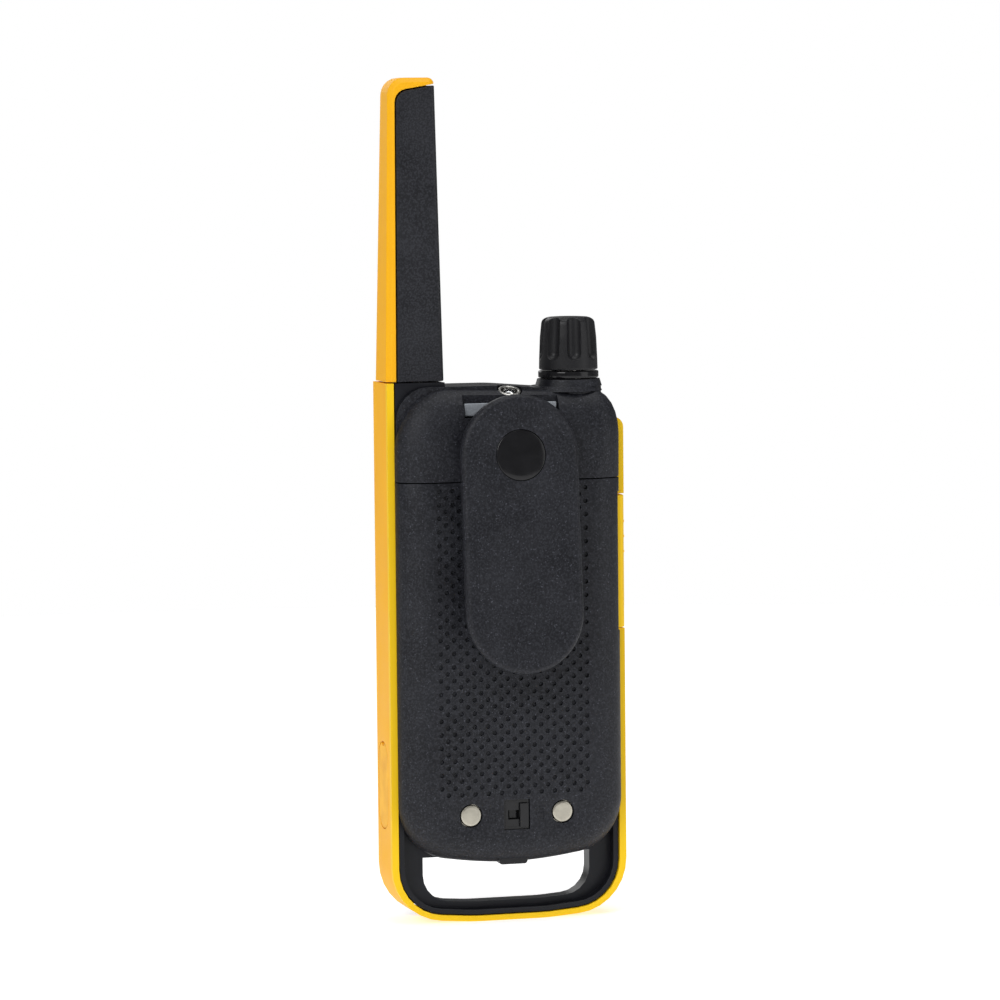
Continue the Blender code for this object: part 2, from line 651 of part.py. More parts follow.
def make_clip_fittings():
    pin_y, pin_z = CLIP_PIN
    badge_y = clip_y(BADGE_Z)
    badge = rod("clip_badge", (0, badge_y - 0.6, BADGE_Z), (0, badge_y + 0.15, BADGE_Z), 5.8,
                segments=32)
    bracket = block("clip_bracket", (-8.5, 11.3, 110.8), (8.5, 12.1, 119.5))
    for side in (-1, 1):
        near, far = side * 7.0, side * 8.5
        post = block("post", (min(near, far), 11.7, pin_z - 1.7), (max(near, far), pin_y, pin_z + 1.7))
        top = rod("post_top", (near, pin_y, pin_z), (far, pin_y, pin_z), 1.7, segments=20)
        join(bracket, post, top)
    cut(bracket, rod("bracket_hole", (-9, pin_y, pin_z), (9, pin_y, pin_z), 1.05, segments=16))
    pin = rod("clip_pin", (-8.5, pin_y, pin_z), (8.5, pin_y, pin_z), 0.8, segments=16)
    turns, points_per_turn = 3, 8
    coil = []
    for i in range(turns * points_per_turn + 1):
        angle = 2 * math.pi * i / points_per_turn
        coil.append((-3.6 + 7.2 * i / (turns * points_per_turn), pin_y + 1.3 * math.cos(angle),
                     pin_z + 1.3 * math.sin(angle)))
    spring = wire("clip_spring", coil, 0.22)
    rail = block("clip_rail", (-11.3, 9.7, 120.8), (11.3, 10.6, 123.8))
    return [paint(badge, GLOSS_BLACK, 0.15), paint(bracket, GREY, 0.4, 0.6), paint(pin, STEEL, 0.3, 1.0),
            paint(spring, STEEL, 0.35, 1.0), paint(rail, GREY, 0.35)]


# ---------------------------------------------------------------- knob

def make_knob():
    x, y = KNOB_AXIS
    profile = [(0, 143.5), (4.6, 143.4), (5.7, 143.0), (6.35, 142.2), (6.75, 138.5), (6.95, 133.5),
               (7.0, 131.3), (6.85, KNOB_FOOT), (0, KNOB_FOOT)]
    knob = turned("volume_knob", profile, (x, y, 0), segments=40)
    for i in range(FLUTES):
        angle = math.radians(FLUTE_START + 360 * i / FLUTES)
        out = Vector((math.cos(angle), math.sin(angle), 0))
        low = Vector((x, y, 133.7)) + out * 7.3
        high = Vector((x, y, 146.0)) + out * 6.5
        cut(knob, wire("flute", [low, low + Vector((0, 0, 1.2)), high], FLUTE_RADIUS))
    cut(knob, rod("knob_bore", (x, y, 130), (x, y, 139.5), 3.3))
    shaft = rod("knob_shaft", (x, y, 124.3), (x, y, 139.1), 3.0)
    stem = rod("stem", (x, y, 120.5), (x, y, 124.6), 1.6, segments=16)
    join(shaft, stem)
    ring = turned("knob_ring", [(3.9, RING_TOP), (7.0, RING_TOP), (7.2, RING_TOP - 0.2),
                                (7.2, RING_FOOT + 0.2), (7.0, RING_FOOT), (3.9, RING_FOOT)],
                  (x, y, 0), segments=32)
    body = block("volume_control", (x - 4.8, y - 3.8, 114.0), (x + 4.8, y + 3.7, 120.0))
    bush = rod("bush", (x, y, 119.5), (x, y, 123.9), 3.5)
    join(body, bush)
    cut(body, rod("bush_bore", (x, y, 118.5), (x, y, 130), 1.95, segments=16))
    set_origin(knob, (x, y, KNOB_FOOT))
    return [paint(knob, BLACK, 0.45), paint(shaft, STEEL, 0.4, 1.0), paint(ring, GLOSS_BLACK, 0.15),
            paint(body, STEEL, 0.4, 0.8)]


def make_torch():
    ring = turned("torch_ring", [(2.0, 0.0), (2.6, 0.0), (2.8, -0.3), (2.8, -1.7), (2.0, -1.7)],
                  TORCH, along="torch", segments=24)
    lens = turned("torch_lens", [(0, 0.1), (1.0, -0.1), (1.7, -0.6), (1.7, -1.7), (0, -1.7)],
                  TORCH, along="torch", segments=20)
    led = rod("torch_led", torch_point(-5.2), torch_point(-2.1), 1.5, segments=16)
    return [paint(ring, STEEL, 0.2, 1.0), paint(lens, CLEAR, 0.1), paint(led, CLEAR, 0.2)]


# ---------------------------------------------------------------- buttons and covers

def make_ptt():
    """The side button: a yellow bar with three ribs and a nub that reaches the switch."""
    outer = -BAND_HALF
    section = [(outer + 0.05, -4.0), (-27.45, -4.0), (-27.45, SHOULDER_START), (-26.7, SHOULDER_START),
               (-26.7, 8.2), (-28.0, 8.0), (-28.8, 7.0), (outer + 0.05, 6.0)]
    button = plate("ptt_button", section, PTT_FOOT, PTT_TOP, plane="XY")
    bevel(button, 0.45)
    for z in (94.4, 90.8, 87.2):
        join(button, wire("rib", [(outer + 0.1, -2.6, z), (outer + 0.1, 5.2, z)], 0.6))
    join(button, block("nub", (-27.8, -1.4, 83.0), (-25.4, 1.4, 87.0)))
    set_origin(button, (outer, 0, (PTT_FOOT + PTT_TOP) / 2))
    switch = block("ptt_switch", (-24.3, -3.9, 82.5), (-21.8, -0.6, 87.5))
    return [paint(button, YELLOW, 0.45), paint(switch, GLOSS_BLACK, 0.4)]


def make_port_cover():
    cover = plate("port_cover", capsule(PORT_Y - 4.2, PORT_Y + 4.2, PORT_FOOT, PORT_TOP),
                  27.5, BAND_HALF, plane="YZ")
    bevel(cover, 0.4)
    cut(cover, rod("finger_notch", (27, PORT_Y, PORT_TOP + 0.4), (31, PORT_Y, PORT_TOP + 0.4), 1.3,
                   segments=16))
    set_origin(cover, (BAND_HALF, PORT_Y, PORT_FOOT))
    socket = plate("charge_socket", capsule(-3.1, 0.1, 32.6, 40.4), 19.5, 26.8, plane="YZ")
    cut(socket, plate("socket_mouth", capsule(-2.6, -0.4, 33.1, 39.9), 21.0, 40, plane="YZ"))
    jack = rod("headset_jack", (19.0, PORT_Y, JACK_Z), (26.8, PORT_Y, JACK_Z), 2.6)
    cut(jack, rod("jack_bore", (20.5, PORT_Y, JACK_Z), (40, PORT_Y, JACK_Z), 1.25, segments=16))
    return [paint(cover, YELLOW, 0.6), paint(socket, STEEL, 0.35, 1.0), paint(jack, GLOSS_BLACK, 0.4)]


def make_keys():
    keys = []
    for name in KEYS:
        key = plate(name, key_outline(name, 0.0), -12.1, -8.9)
        bevel(key, 0.35)
        join(key, plate("flange", key_outline(name, 0.9), -9.2, -8.8))
        keys.append(paint(key, RUBBER_BLACK, 0.5))
    return keys


# ---------------------------------------------------------------- insides

def make_front_insides():
    lens = plate("display_lens", box_outline(-17.5, 17.5, 79.5, 106.5, 2.7), -11.5, -10.6)
    display = block("display_module", (-16.5, -9.2, 80.0), (16.5, -7.7, 106.0))
    mat = plate("keypad_mat", box_outline(-17.0, 17.0, 55.0, 76.5, 2.0, 2), -8.1, -7.6)
    board = block("main_board", (-19.8, -7.4, 48.0), (19.8, -6.4, 121.0))
    shield = block("radio_shield", (-7.0, -6.1, 109.5), (15.0, -3.0, 120.0))
    microphone = rod("microphone", (17.5, -9.1, 52.5), (17.5, -7.7, 52.5), 2.2, segments=16)
    return [paint(lens, CLEAR, 0.05), paint(display, GREY, 0.3), paint(mat, RUBBER_BLACK, 0.7),
            paint(board, BOARD_GREEN, 0.5), paint(shield, STEEL, 0.3, 1.0),
            paint(microphone, STEEL, 0.35, 1.0)]


def make_speaker():
    centre = (0, 0, SPEAKER_Z)
    cloth = rod("speaker_cloth", (0, -9.2, SPEAKER_Z), (0, -8.9, SPEAKER_Z), 13.6)
    frame = turned("speaker_frame", [(14.0, -4.6), (14.0, -8.6), (13.4, -8.6), (13.4, -5.2),
                                     (4.0, -5.2), (4.0, -4.6)], centre, along="Y", segments=24)
    cone = turned("speaker_cone", [(0, -6.1), (5.6, -6.1), (12.9, -7.6), (12.9, -8.1), (5.5, -6.6),
                                   (0, -6.6)], centre, along="Y", segments=24)
    magnet = turned("speaker_magnet", [(0, -0.9), (7.5, -0.9), (7.5, -4.3), (0, -4.3)], centre,
                    along="Y", segments=24)
    return [paint(cloth, RUBBER_BLACK, 0.9), paint(frame, STEEL, 0.4, 0.9),
            paint(cone, CONE_GREY, 0.8), paint(magnet, STEEL, 0.3, 1.0)]


def make_cells():
    made = []
    top = CELL_FOOT + CELL_HEIGHT
    for number, x in enumerate((-CELL_PITCH, 0.0, CELL_PITCH), start=1):
        profile = [(0, top), (2.6, top), (2.6, top - 1.2), (CELL_RADIUS - 0.4, top - 1.2),
                   (CELL_RADIUS, top - 1.6), (CELL_RADIUS, CELL_FOOT + 0.3),
                   (CELL_RADIUS - 0.3, CELL_FOOT), (0, CELL_FOOT)]
        cell = turned(f"battery_cell_{number}", profile, (x, CELL_AXIS_Y, 0), segments=20)
        turns, points_per_turn = 2, 8
        coil = []
        for i in range(turns * points_per_turn + 1):
            share = i / (turns * points_per_turn)
            angle = 2 * math.pi * i / points_per_turn
            radius = 3.6 - 1.6 * share
            coil.append((x + radius * math.cos(angle), CELL_AXIS_Y + radius * math.sin(angle),
                         48.95 + 1.9 * share))
        spring = wire(f"battery_spring_{number}", coil, 0.25)
        made += [paint(cell, CELL_WRAP, 0.35), paint(spring, STEEL, 0.3, 1.0)]
    foot = block("battery_plate_foot", (-20.5, -2.5, 47.8), (20.5, 4.2, 48.3))
    head = block("battery_plate_head", (-20.5, -2.5, 102.5), (20.5, 4.6, 103.1))
    seal = plate("door_seal", case_outline(CASE_WALL + GAP, 103.1, 1.2), 5.0, 6.7)
    cut(seal, plate("seal_hole", case_outline(CASE_WALL + 1.1, 102.4, 0.8), 0, 20))
    made += [paint(foot, NICKEL, 0.3, 1.0), paint(seal, RUBBER_BLACK, 0.8)]
    made.append(paint(head, NICKEL, 0.3, 1.0))
    return made


def make_case_screws():
    screws = []
    for number, (x, z) in enumerate(SCREW_PLACES, start=1):
        profile = [(0, -2.4), (1.3, -2.4), (1.7, -2.8), (1.7, -3.9), (1.0, -3.9), (1.0, -9.0), (0, -9.0)]
        screw = turned(f"case_screw_{number}", profile, (x, 0, z), along="Y", segments=12)
        screws.append(paint(screw, STEEL, 0.35, 1.0))
    return screws


def main():
    global PARTS, CUTTERS
    empty_scene()
    PARTS = new_collection("two_way_radio")
    CUTTERS = new_collection("cutters")
    make_rear_housing()
    make_front_cover()
    make_bumper_band()
    make_antenna()
    make_battery_door()
    make_latch()
    make_contacts()
    make_belt_clip()
    make_clip_fittings()
    make_knob()
    make_torch()
    make_ptt()
    make_port_cover()
    make_keys()
    make_front_insides()
    make_speaker()
    make_cells()
    make_case_screws()


main()
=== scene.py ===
"""Looks of the two way radio: camera, light, materials, and the pieces that are finer than the CAD.

Lengths are millimetres unless a name says otherwise, in the CAD's own frame: +X is the antenna's
side, +Y the back (the belt clip's side) and +Z up.
"""

import json
import math

import bmesh
import bpy
from mathutils import Matrix, Vector
from mathutils.geometry import delaunay_2d_cdt


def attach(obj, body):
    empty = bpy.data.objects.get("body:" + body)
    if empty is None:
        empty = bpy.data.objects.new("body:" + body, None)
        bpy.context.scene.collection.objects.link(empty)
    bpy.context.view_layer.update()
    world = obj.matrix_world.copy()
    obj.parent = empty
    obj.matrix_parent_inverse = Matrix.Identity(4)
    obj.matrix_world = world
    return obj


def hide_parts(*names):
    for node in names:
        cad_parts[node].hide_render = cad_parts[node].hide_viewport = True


MM = 0.001

# Camera
AZIMUTH = 16.0                  # degrees from +Y towards +X
ELEVATION = 4.4
DISTANCE = 1140.1
TARGET = (0.0, 6.5, 100.8)
ROLL = 0.55
LENS = 173.1
SHIFT = (-0.0068, -0.0015)

# Battery door and upper bulge
DOOR_START = 6.8                # the shoulder begins here and rolls back to the face
DOOR_FACE = 12.8
DOOR_HALF = 27.5
DOOR_TOP = 105.25
DOOR_FOOT = 14.15
DOOR_ROLL = 8.0                 # how far the sides draw in at the face
FOOT_ROLL = 6.0
DOOR_WALL = 1.6
CORNER = (14.5, 29.0, 13.0, 13.5)   # centre x and z, radius x and z
CONTACT = (11.3, 26.3)
DIMPLE_RADIUS = 0.6
DIMPLE_DEPTH = 0.55
DIMPLE_PITCH_X = 1.63
DIMPLE_PITCH_Z = 3.2
DIMPLE_COLUMNS = 23
DIMPLE_MIDDLE = 0.4
DIMPLE_TOP = 103.4
DIMPLE_FOOT = 30.2
DIMPLE_SIDES = 12
MARK_LOW = DOOR_FACE - 0.05     # the raised lock marks
MARK_HIGH = DOOR_FACE + 0.12
MARK_LINE = 0.22

# Belt clip
CLIP_HALF = 14.3
CLIP_FOOT = 60.6
CLIP_TOP = 126.1
CLIP_THICKNESS = 2.8
CLIP_RIM = 1.35                 # radius of its outer rim
CLIP_TOP_Y = 18.5
CLIP_BEND = 9.0
CLIP_LEAN = 0.095
CLIP_PIN = (14.1, 116.0)        # y and z
LUG_RADIUS = 1.7
BADGE_Z = 111.9

# Knob
KNOB_AXIS = (-17.0, 1.5)
FLUTES = 8
FLUTE_START = 41.0
FLUTE_RADIUS = 1.75
FLUTE_FOOT = 135.0              # below this the flute's end is round
FLUTE_LINE = (7.3, 6.5)         # how far off the axis a flute's centre line runs, low and high
FLUTE_LINE_LOW = 133.7
FLUTE_LINE_RISE = 12.3
FLUTE_BLEND = 0.16              # width over which a flute's edge is rounded
KNOB_FOOT = 130.9
KNOB_STEPS = 384
KNOB_BORE = (3.3, 139.5)        # radius and the height of its end
RING_FOOT = 129.0

TORCH = (-0.7, 7.2, 126.6)
TORCH_TILT = 22.0

# Signs on the keys
SIGN_LOW = -12.13
SIGN_HIGH = -11.98

FLOOR_RADIUS = 0.75             # metres


# ---------------------------------------------------------------- node helpers

class Shader:
    """A material's node tree around one Principled shader, with short names for what repeats."""

    def __init__(self, name):
        self.material = bpy.data.materials.new(name)
        self.material.use_nodes = True
        self.nodes = self.material.node_tree.nodes
        self.links = self.material.node_tree.links
        self.main = self.nodes["Principled BSDF"]
        self.place = self.nodes.new("ShaderNodeTexCoord").outputs["Object"]

    def set(self, **values):
        for name, value in values.items():
            self.main.inputs[name.replace("_", " ")].default_value = value
        return self

    def link(self, source, target):
        self.links.new(source, self.main.inputs[target])

    def scaled(self, scale):
        """The place stretched by (x, y, z), for brushed or drawn marks."""
        node = self.nodes.new("ShaderNodeMapping")
        node.inputs["Scale"].default_value = scale
        self.links.new(self.place, node.inputs["Vector"])
        return node.outputs["Vector"]

    def noise(self, size, detail=2.0, roughness=0.5, place=None):
        """Noise from 0 to 1 whose blotches are about size millimetres across."""
        node = self.nodes.new("ShaderNodeTexNoise")
        node.inputs["Scale"].default_value = 1.0 / (size * MM)
        node.inputs["Detail"].default_value = detail
        node.inputs["Roughness"].default_value = roughness
        self.links.new(place or self.place, node.inputs["Vector"])
        return node.outputs["Fac"]

    def cells(self, size, place=None):
        """Distance to scattered points about size millimetres apart, in cells."""
        node = self.nodes.new("ShaderNodeTexVoronoi")
        node.inputs["Scale"].default_value = 1.0 / (size * MM)
        self.links.new(place or self.place, node.inputs["Vector"])
        return node.outputs["Distance"]

    def span(self, value, low, high, to_low=0.0, to_high=1.0):
        """Map low..high to to_low..to_high, clamped."""
        node = self.nodes.new("ShaderNodeMapRange")
        for name, number in zip(("From Min", "From Max", "To Min", "To Max"),
                                (low, high, to_low, to_high)):
            node.inputs[name].default_value = number
        self.links.new(value, node.inputs["Value"])
        return node.outputs["Result"]

    def math(self, operation, first, second):
        node = self.nodes.new("ShaderNodeMath")
        node.operation = operation
        for socket, value in zip(node.inputs, (first, second)):
            if isinstance(value, (int, float)):
                socket.default_value = value
            else:
                self.links.new(value, socket)
        return node.outputs["Value"]

    def axis(self, name):
        """One coordinate of the place, in millimetres."""
        node = self.nodes.new("ShaderNodeSeparateXYZ")
        self.links.new(self.place, node.inputs["Vector"])
        return self.math("DIVIDE", node.outputs[name], MM)

    def mix(self, share, first, second):
        """Blend two colours, each a tuple or a socket."""
        node = self.nodes.new("ShaderNodeMix")
        node.data_type = "RGBA"
        self.links.new(share, node.inputs["Factor"])
        sockets = [s for s in node.inputs if s.type == "RGBA"]
        for socket, value in zip(sockets, (first, second)):
            if isinstance(value, tuple):
                socket.default_value = (*value, 1.0)
            else:
                self.links.new(value, socket)
        return [s for s in node.outputs if s.type == "RGBA"][0]

    def bump(self, height, depth, strength=1.0):
        """Relief of about depth millimetres; a socket for strength fades it in places."""
        node = self.nodes.new("ShaderNodeBump")
        node.inputs["Distance"].default_value = depth * MM
        if isinstance(strength, float):
            node.inputs["Strength"].default_value = strength
        else:
            self.links.new(strength, node.inputs["Strength"])
        self.links.new(height, node.inputs["Height"])
        return node.outputs["Normal"]

    def edges(self, radius):
        """About 1 along outer edges and 0 on flat ground."""
        bevel = self.nodes.new("ShaderNodeBevel")
        bevel.samples = 4
        bevel.inputs["Radius"].default_value = radius * MM
        geometry = self.nodes.new("ShaderNodeNewGeometry")
        dot = self.nodes.new("ShaderNodeVectorMath")
        dot.operation = "DOT_PRODUCT"
        self.links.new(bevel.outputs["Normal"], dot.inputs[0])
        self.links.new(geometry.outputs["Normal"], dot.inputs[1])
        return self.span(dot.outputs["Value"], 0.995, 0.9)


# ---------------------------------------------------------------- materials

def grained_plastic(name, base, light, roughness, grain=0.5, depth=0.05, painted_glint_specks=0.42, contrast=0.62,
                    shine=0.25, smooth=None, painted_light_face=None):
    """Moulded plastic with spark grain, specks of painted glint (bright dots painted into the colour as
    painted highlights, where the roughness also dips), faint blotches and worn edges.

    smooth is a function from the shader to a socket that is 1 where the mould is polished; the last
    argument is a pair of a like function and a lighter colour painted on where that is 1, painted light for
    a face that catches more light.
    """
    shader = Shader(name).set(Specular_IOR_Level=shine)
    fine = shader.noise(grain, 3.0, 0.6)
    broad = shader.noise(9.0, 3.0)
    # specks of painted glint: bright dots painted into the colour as painted highlights; they also lower
    # the roughness
    speck_with_painted_glint = shader.span(shader.cells(0.5), 0.36, 0.16)
    speck_with_painted_glint = shader.math("MULTIPLY", speck_with_painted_glint, shader.span(shader.noise(0.9, 2.0), 0.48, 0.68))
    grainy = shader.span(fine, 0.45, 0.6)
    if smooth:
        rough_share = shader.math("SUBTRACT", 1.0, smooth(shader))
        grainy = shader.math("MULTIPLY", grainy, rough_share)
        speck_with_painted_glint = shader.math("MULTIPLY", speck_with_painted_glint, rough_share)
    edge = shader.math("MULTIPLY", shader.edges(0.45), shader.span(broad, 0.3, 0.7, 0.35, 1.0))
    tone = shader.mix(shader.span(broad, 0.3, 0.7, 0.0, 0.3), base, light)
    tone = shader.mix(shader.math("MULTIPLY", grainy, contrast), tone, light)
    # painted light: a paler colour painted on the face that the mask picks out, for the light that face
    # catches
    if painted_light_face:
        where, colour = painted_light_face
        tone = shader.mix(where(shader), tone, colour)
    # painted glint: the specks are painted far lighter than the plastic, a painted highlight
    painted_glint = tuple(min(1.0, 5.0 * c) for c in light)
    tone = shader.mix(shader.math("MULTIPLY", speck_with_painted_glint, painted_glint_specks), tone, painted_glint)
    tone = shader.mix(shader.math("MULTIPLY", edge, 0.35), tone, light)
    shader.link(tone, "Base Color")
    worn = shader.span(broad, 0.3, 0.7, roughness - 0.05, roughness + 0.06)
    worn = shader.math("SUBTRACT", worn, shader.math("MULTIPLY", edge, 0.1))
    worn = shader.math("SUBTRACT", worn, shader.math("MULTIPLY", speck_with_painted_glint, 0.2 * painted_glint_specks))
    if smooth:
        worn = shader.math("SUBTRACT", worn, shader.math("MULTIPLY", smooth(shader), 0.12))
    shader.link(worn, "Roughness")
    height = shader.math("ADD", fine, shader.math("MULTIPLY", shader.noise(grain * 2.6, 2.0), 0.8))
    if smooth:
        strength = shader.span(smooth(shader), 0.0, 1.0, 1.0, 0.12)
        shader.link(shader.bump(height, depth, strength), "Normal")
    else:
        shader.link(shader.bump(height, depth), "Normal")
    return shader.material


def housing_smooth(shader):
    """1 in front of the rear bulge, where the housing is polished, and 0 on the bulge and the collar."""
    return shader.span(shader.axis("Y"), 6.3, 6.9, 1.0, 0.0)


def chamfer_painted_light(shader):
    """1 on the band's rear chamfer, which is painted a paler lemon as painted light for the light that face
    catches, and 0 on its sides.
    """
    return shader.span(shader.axis("Y"), 5.05, 5.35)


def glossy(name, base, roughness):
    """Polished plastic with faint haze and hairline scratches."""
    shader = Shader(name).set(Specular_IOR_Level=0.3)
    haze = shader.noise(4.0, 3.0)
    scratch = shader.span(shader.noise(0.5, 2.0, 0.5, shader.scaled((0.06, 1.0, 1.0))), 0.62, 0.72)
    shader.link(shader.mix(shader.span(haze, 0.3, 0.7), base, tuple(c * 1.5 for c in base)), "Base Color")
    rough = shader.span(haze, 0.3, 0.7, roughness * 0.8, roughness * 1.3)
    rough = shader.math("ADD", rough, shader.math("MULTIPLY", scratch, 0.12))
    shader.link(rough, "Roughness")
    shader.link(shader.bump(haze, 0.0015), "Normal")
    return shader.material


def metal(name, base, roughness, drawn=(1.0, 1.0, 0.05), mark=0.35):
    """Metal with drawn or turned marks, tarnish blotches and brighter edges."""
    shader = Shader(name).set(Metallic=1.0)
    marks = shader.noise(mark, 3.0, 0.6, shader.scaled(drawn))
    cloud = shader.noise(2.6, 4.0, 0.6)
    tone = shader.mix(shader.span(cloud, 0.3, 0.7), tuple(c * 0.78 for c in base), base)
    tone = shader.mix(shader.math("MULTIPLY", shader.edges(0.25), 0.5), tone,
                      tuple(min(1.0, c * 1.25) for c in base))
    shader.link(tone, "Base Color")
    rough = shader.span(marks, 0.3, 0.7, roughness - 0.08, roughness + 0.1)
    shader.link(rough, "Roughness")
    shader.link(shader.bump(marks, 0.006), "Normal")
    return shader.material


def rubber(name, base, roughness=0.7):
    shader = Shader(name)
    fine = shader.noise(0.22, 2.0)
    broad = shader.noise(5.0, 3.0)
    tone = shader.mix(shader.span(broad, 0.3, 0.7), base, tuple(min(1.0, c * 1.3 + 0.004) for c in base))
    shader.link(tone, "Base Color")
    shader.link(shader.span(fine, 0.3, 0.7, roughness - 0.08, roughness + 0.1), "Roughness")
    shader.link(shader.bump(fine, 0.012), "Normal")
    return shader.material


def clear_window(name):
    shader = Shader(name).set(Base_Color=(0.93, 0.95, 0.96, 1.0), Transmission_Weight=1.0, IOR=1.49)
    haze = shader.noise(6.0, 4.0)
    shader.link(shader.span(haze, 0.4, 0.75, 0.02, 0.09), "Roughness")
    shader.link(shader.bump(haze, 0.003), "Normal")
    return shader.material


def display_glass(name):
    """A reflective liquid-crystal panel: grey-green with a fine cell grid."""
    shader = Shader(name)
    cells_x = shader.math("PINGPONG", shader.axis("X"), 0.28)
    cells_z = shader.math("PINGPONG", shader.axis("Z"), 0.28)
    grid = shader.span(shader.math("MINIMUM", cells_x, cells_z), 0.0, 0.05)
    cloud = shader.noise(12.0, 2.0)
    tone = shader.mix(shader.span(cloud, 0.3, 0.7), (0.16, 0.19, 0.15), (0.20, 0.23, 0.18))
    tone = shader.mix(shader.span(grid, 0.0, 1.0, 0.25, 0.0), tone, (0.06, 0.07, 0.06))
    shader.link(tone, "Base Color")
    shader.link(shader.span(cloud, 0.3, 0.7, 0.25, 0.38), "Roughness")
    return shader.material


def board_green(name):
    shader = Shader(name)
    tracks = shader.noise(1.6, 1.0, 0.4, shader.scaled((1.0, 1.0, 0.15)))
    track = shader.span(tracks, 0.53, 0.56)
    tone = shader.mix(track, (0.012, 0.085, 0.035), (0.03, 0.16, 0.07))
    shader.link(tone, "Base Color")
    shader.link(shader.span(tracks, 0.3, 0.7, 0.35, 0.5), "Roughness")
    shader.link(shader.bump(track, 0.02), "Normal")
    return shader.material


def woven(name, base, pitch):
    """Cloth with a plain weave of the given pitch."""
    shader = Shader(name).set(Sheen_Weight=0.3, Sheen_Roughness=0.5)
    warp = shader.math("PINGPONG", shader.axis("X"), pitch / 2)
    weft = shader.math("PINGPONG", shader.axis("Z"), pitch / 2)
    weave = shader.math("MULTIPLY", warp, weft)
    tone = shader.mix(shader.span(weave, 0.0, pitch * pitch / 4), tuple(c * 0.5 for c in base), base)
    shader.link(tone, "Base Color")
    shader.link(shader.span(shader.noise(1.0), 0.3, 0.7, 0.8, 0.95), "Roughness")
    shader.link(shader.bump(shader.span(weave, 0.0, pitch * pitch / 4), 0.06), "Normal")
    return shader.material


def cell_film(name):
    """A battery cell's shrink film: plain, with a lighter band at the raised end."""
    shader = Shader(name).set(Coat_Weight=0.4, Coat_Roughness=0.1)
    band = shader.span(shader.axis("Z"), 90.0, 90.3)
    cloud = shader.noise(7.0, 3.0)
    tone = shader.mix(shader.span(cloud, 0.3, 0.7), (0.05, 0.15, 0.22), (0.07, 0.19, 0.27))
    tone = shader.mix(band, tone, (0.42, 0.33, 0.18))
    shader.link(tone, "Base Color")
    shader.link(shader.span(cloud, 0.3, 0.7, 0.25, 0.36), "Roughness")
    shader.link(shader.bump(shader.noise(1.4, 3.0), 0.01), "Normal")
    return shader.material


def make_materials():
    black = (0.0055, 0.006, 0.0088)
    black_light = (0.030, 0.0315, 0.039)
    made = {
        # the glint-speck numbers below set how strongly bright glints are painted into each plastic's
        # colour, as painted highlights
        "black_plastic": grained_plastic("black_plastic_grained", black, black_light, 0.5),
        "smooth_black": grained_plastic("smooth_black_satin", (0.012, 0.012, 0.0135), (0.02, 0.02, 0.022),
                                        0.38, grain=0.3, depth=0.006, painted_glint_specks=0.05),
        "gloss_black": glossy("gloss_black_polished", (0.008, 0.008, 0.009), 0.12),
        "yellow_plastic": grained_plastic("yellow_plastic_satin", (0.98, 0.46, 0.004), (1.0, 0.52, 0.008),
                                          0.5, grain=0.3, depth=0.009, painted_glint_specks=0.04),
        "yellow_rubber": rubber("yellow_rubber_matt", (0.85, 0.40, 0.012), 0.6),
        "grey_plastic": grained_plastic("grey_plastic_grained", (0.27, 0.29, 0.32), (0.36, 0.385, 0.42),
                                        0.45, grain=0.5, depth=0.03, painted_glint_specks=0.1),
        "steel": metal("steel_drawn", (0.56, 0.55, 0.52), 0.3),
        "nickel": metal("nickel_brushed", (0.55, 0.52, 0.44), 0.36, drawn=(0.08, 1.0, 1.0), mark=0.25),
        "board": board_green("board_solder_mask"),
        "clear": clear_window("clear_window"),
        "display": display_glass("display_panel"),
        "black_rubber": rubber("black_rubber_matt", (0.014, 0.014, 0.015)),
        "cell_wrap": cell_film("cell_film"),
        "cloth": woven("dust_cloth", (0.02, 0.02, 0.02), 0.5),
        "cone": rubber("cone_paper", (0.08, 0.08, 0.085), 0.85),
    }
    made["housing"] = grained_plastic("housing_plastic", black, black_light, 0.5, smooth=housing_smooth)
    made["blade"] = grained_plastic("blade_plastic", black, black_light, 0.5, grain=0.42, painted_glint_specks=0.08,
                                    contrast=0.75, shine=0.32)
    # the band's rear chamfer is painted a paler lemon: painted light for the light that face catches
    made["band"] = grained_plastic("band_plastic", (0.98, 0.46, 0.004), (1.0, 0.52, 0.008), 0.5, grain=0.3,
                                   depth=0.009, painted_glint_specks=0.04, painted_light_face=(chamfer_painted_light, (0.98, 0.62, 0.008)))
    return made


# ---------------------------------------------------------------- mesh helpers

def linked(name, data):
    """A new object in the scene."""
    obj = bpy.data.objects.new(name, data)
    bpy.context.scene.collection.objects.link(obj)
    return obj


def mesh_from(bm, name):
    """Turn mesh work into a mesh and free it."""
    mesh = bpy.data.meshes.new(name)
    bm.to_mesh(mesh)
    bm.free()
    return mesh


def piece(name, bm, material, body, slot, *nodes, angle=38.0):
    """Turn millimetre mesh work into an object that rides on a body and may stand for CAD nodes."""
    bmesh.ops.scale(bm, vec=(MM, MM, MM), verts=bm.verts)
    bmesh.ops.recalc_face_normals(bm, faces=bm.faces)
    mesh = mesh_from(bm, name)
    mesh.shade_smooth()
    mesh.set_sharp_from_angle(angle=math.radians(angle))
    mesh.materials.append(material)
    obj = linked(name, mesh)
    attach(obj, body)
    if nodes:
        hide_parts(*nodes)
    return obj


def circle(x, y, radius, count):
    return [(x + radius * math.cos(2 * math.pi * i / count),
             y + radius * math.sin(2 * math.pi * i / count)) for i in range(count)]


def inside(point, loops):
    """Even-odd test of a point against closed outlines."""
    x, y = point
    odd = False
    for loop in loops:
        for (x1, y1), (x2, y2) in zip(loop, loop[1:] + loop[:1]):
            if (y1 > y) != (y2 > y) and x < (x2 - x1) * (y - y1) / (y2 - y1) + x1:
                odd = not odd
    return odd


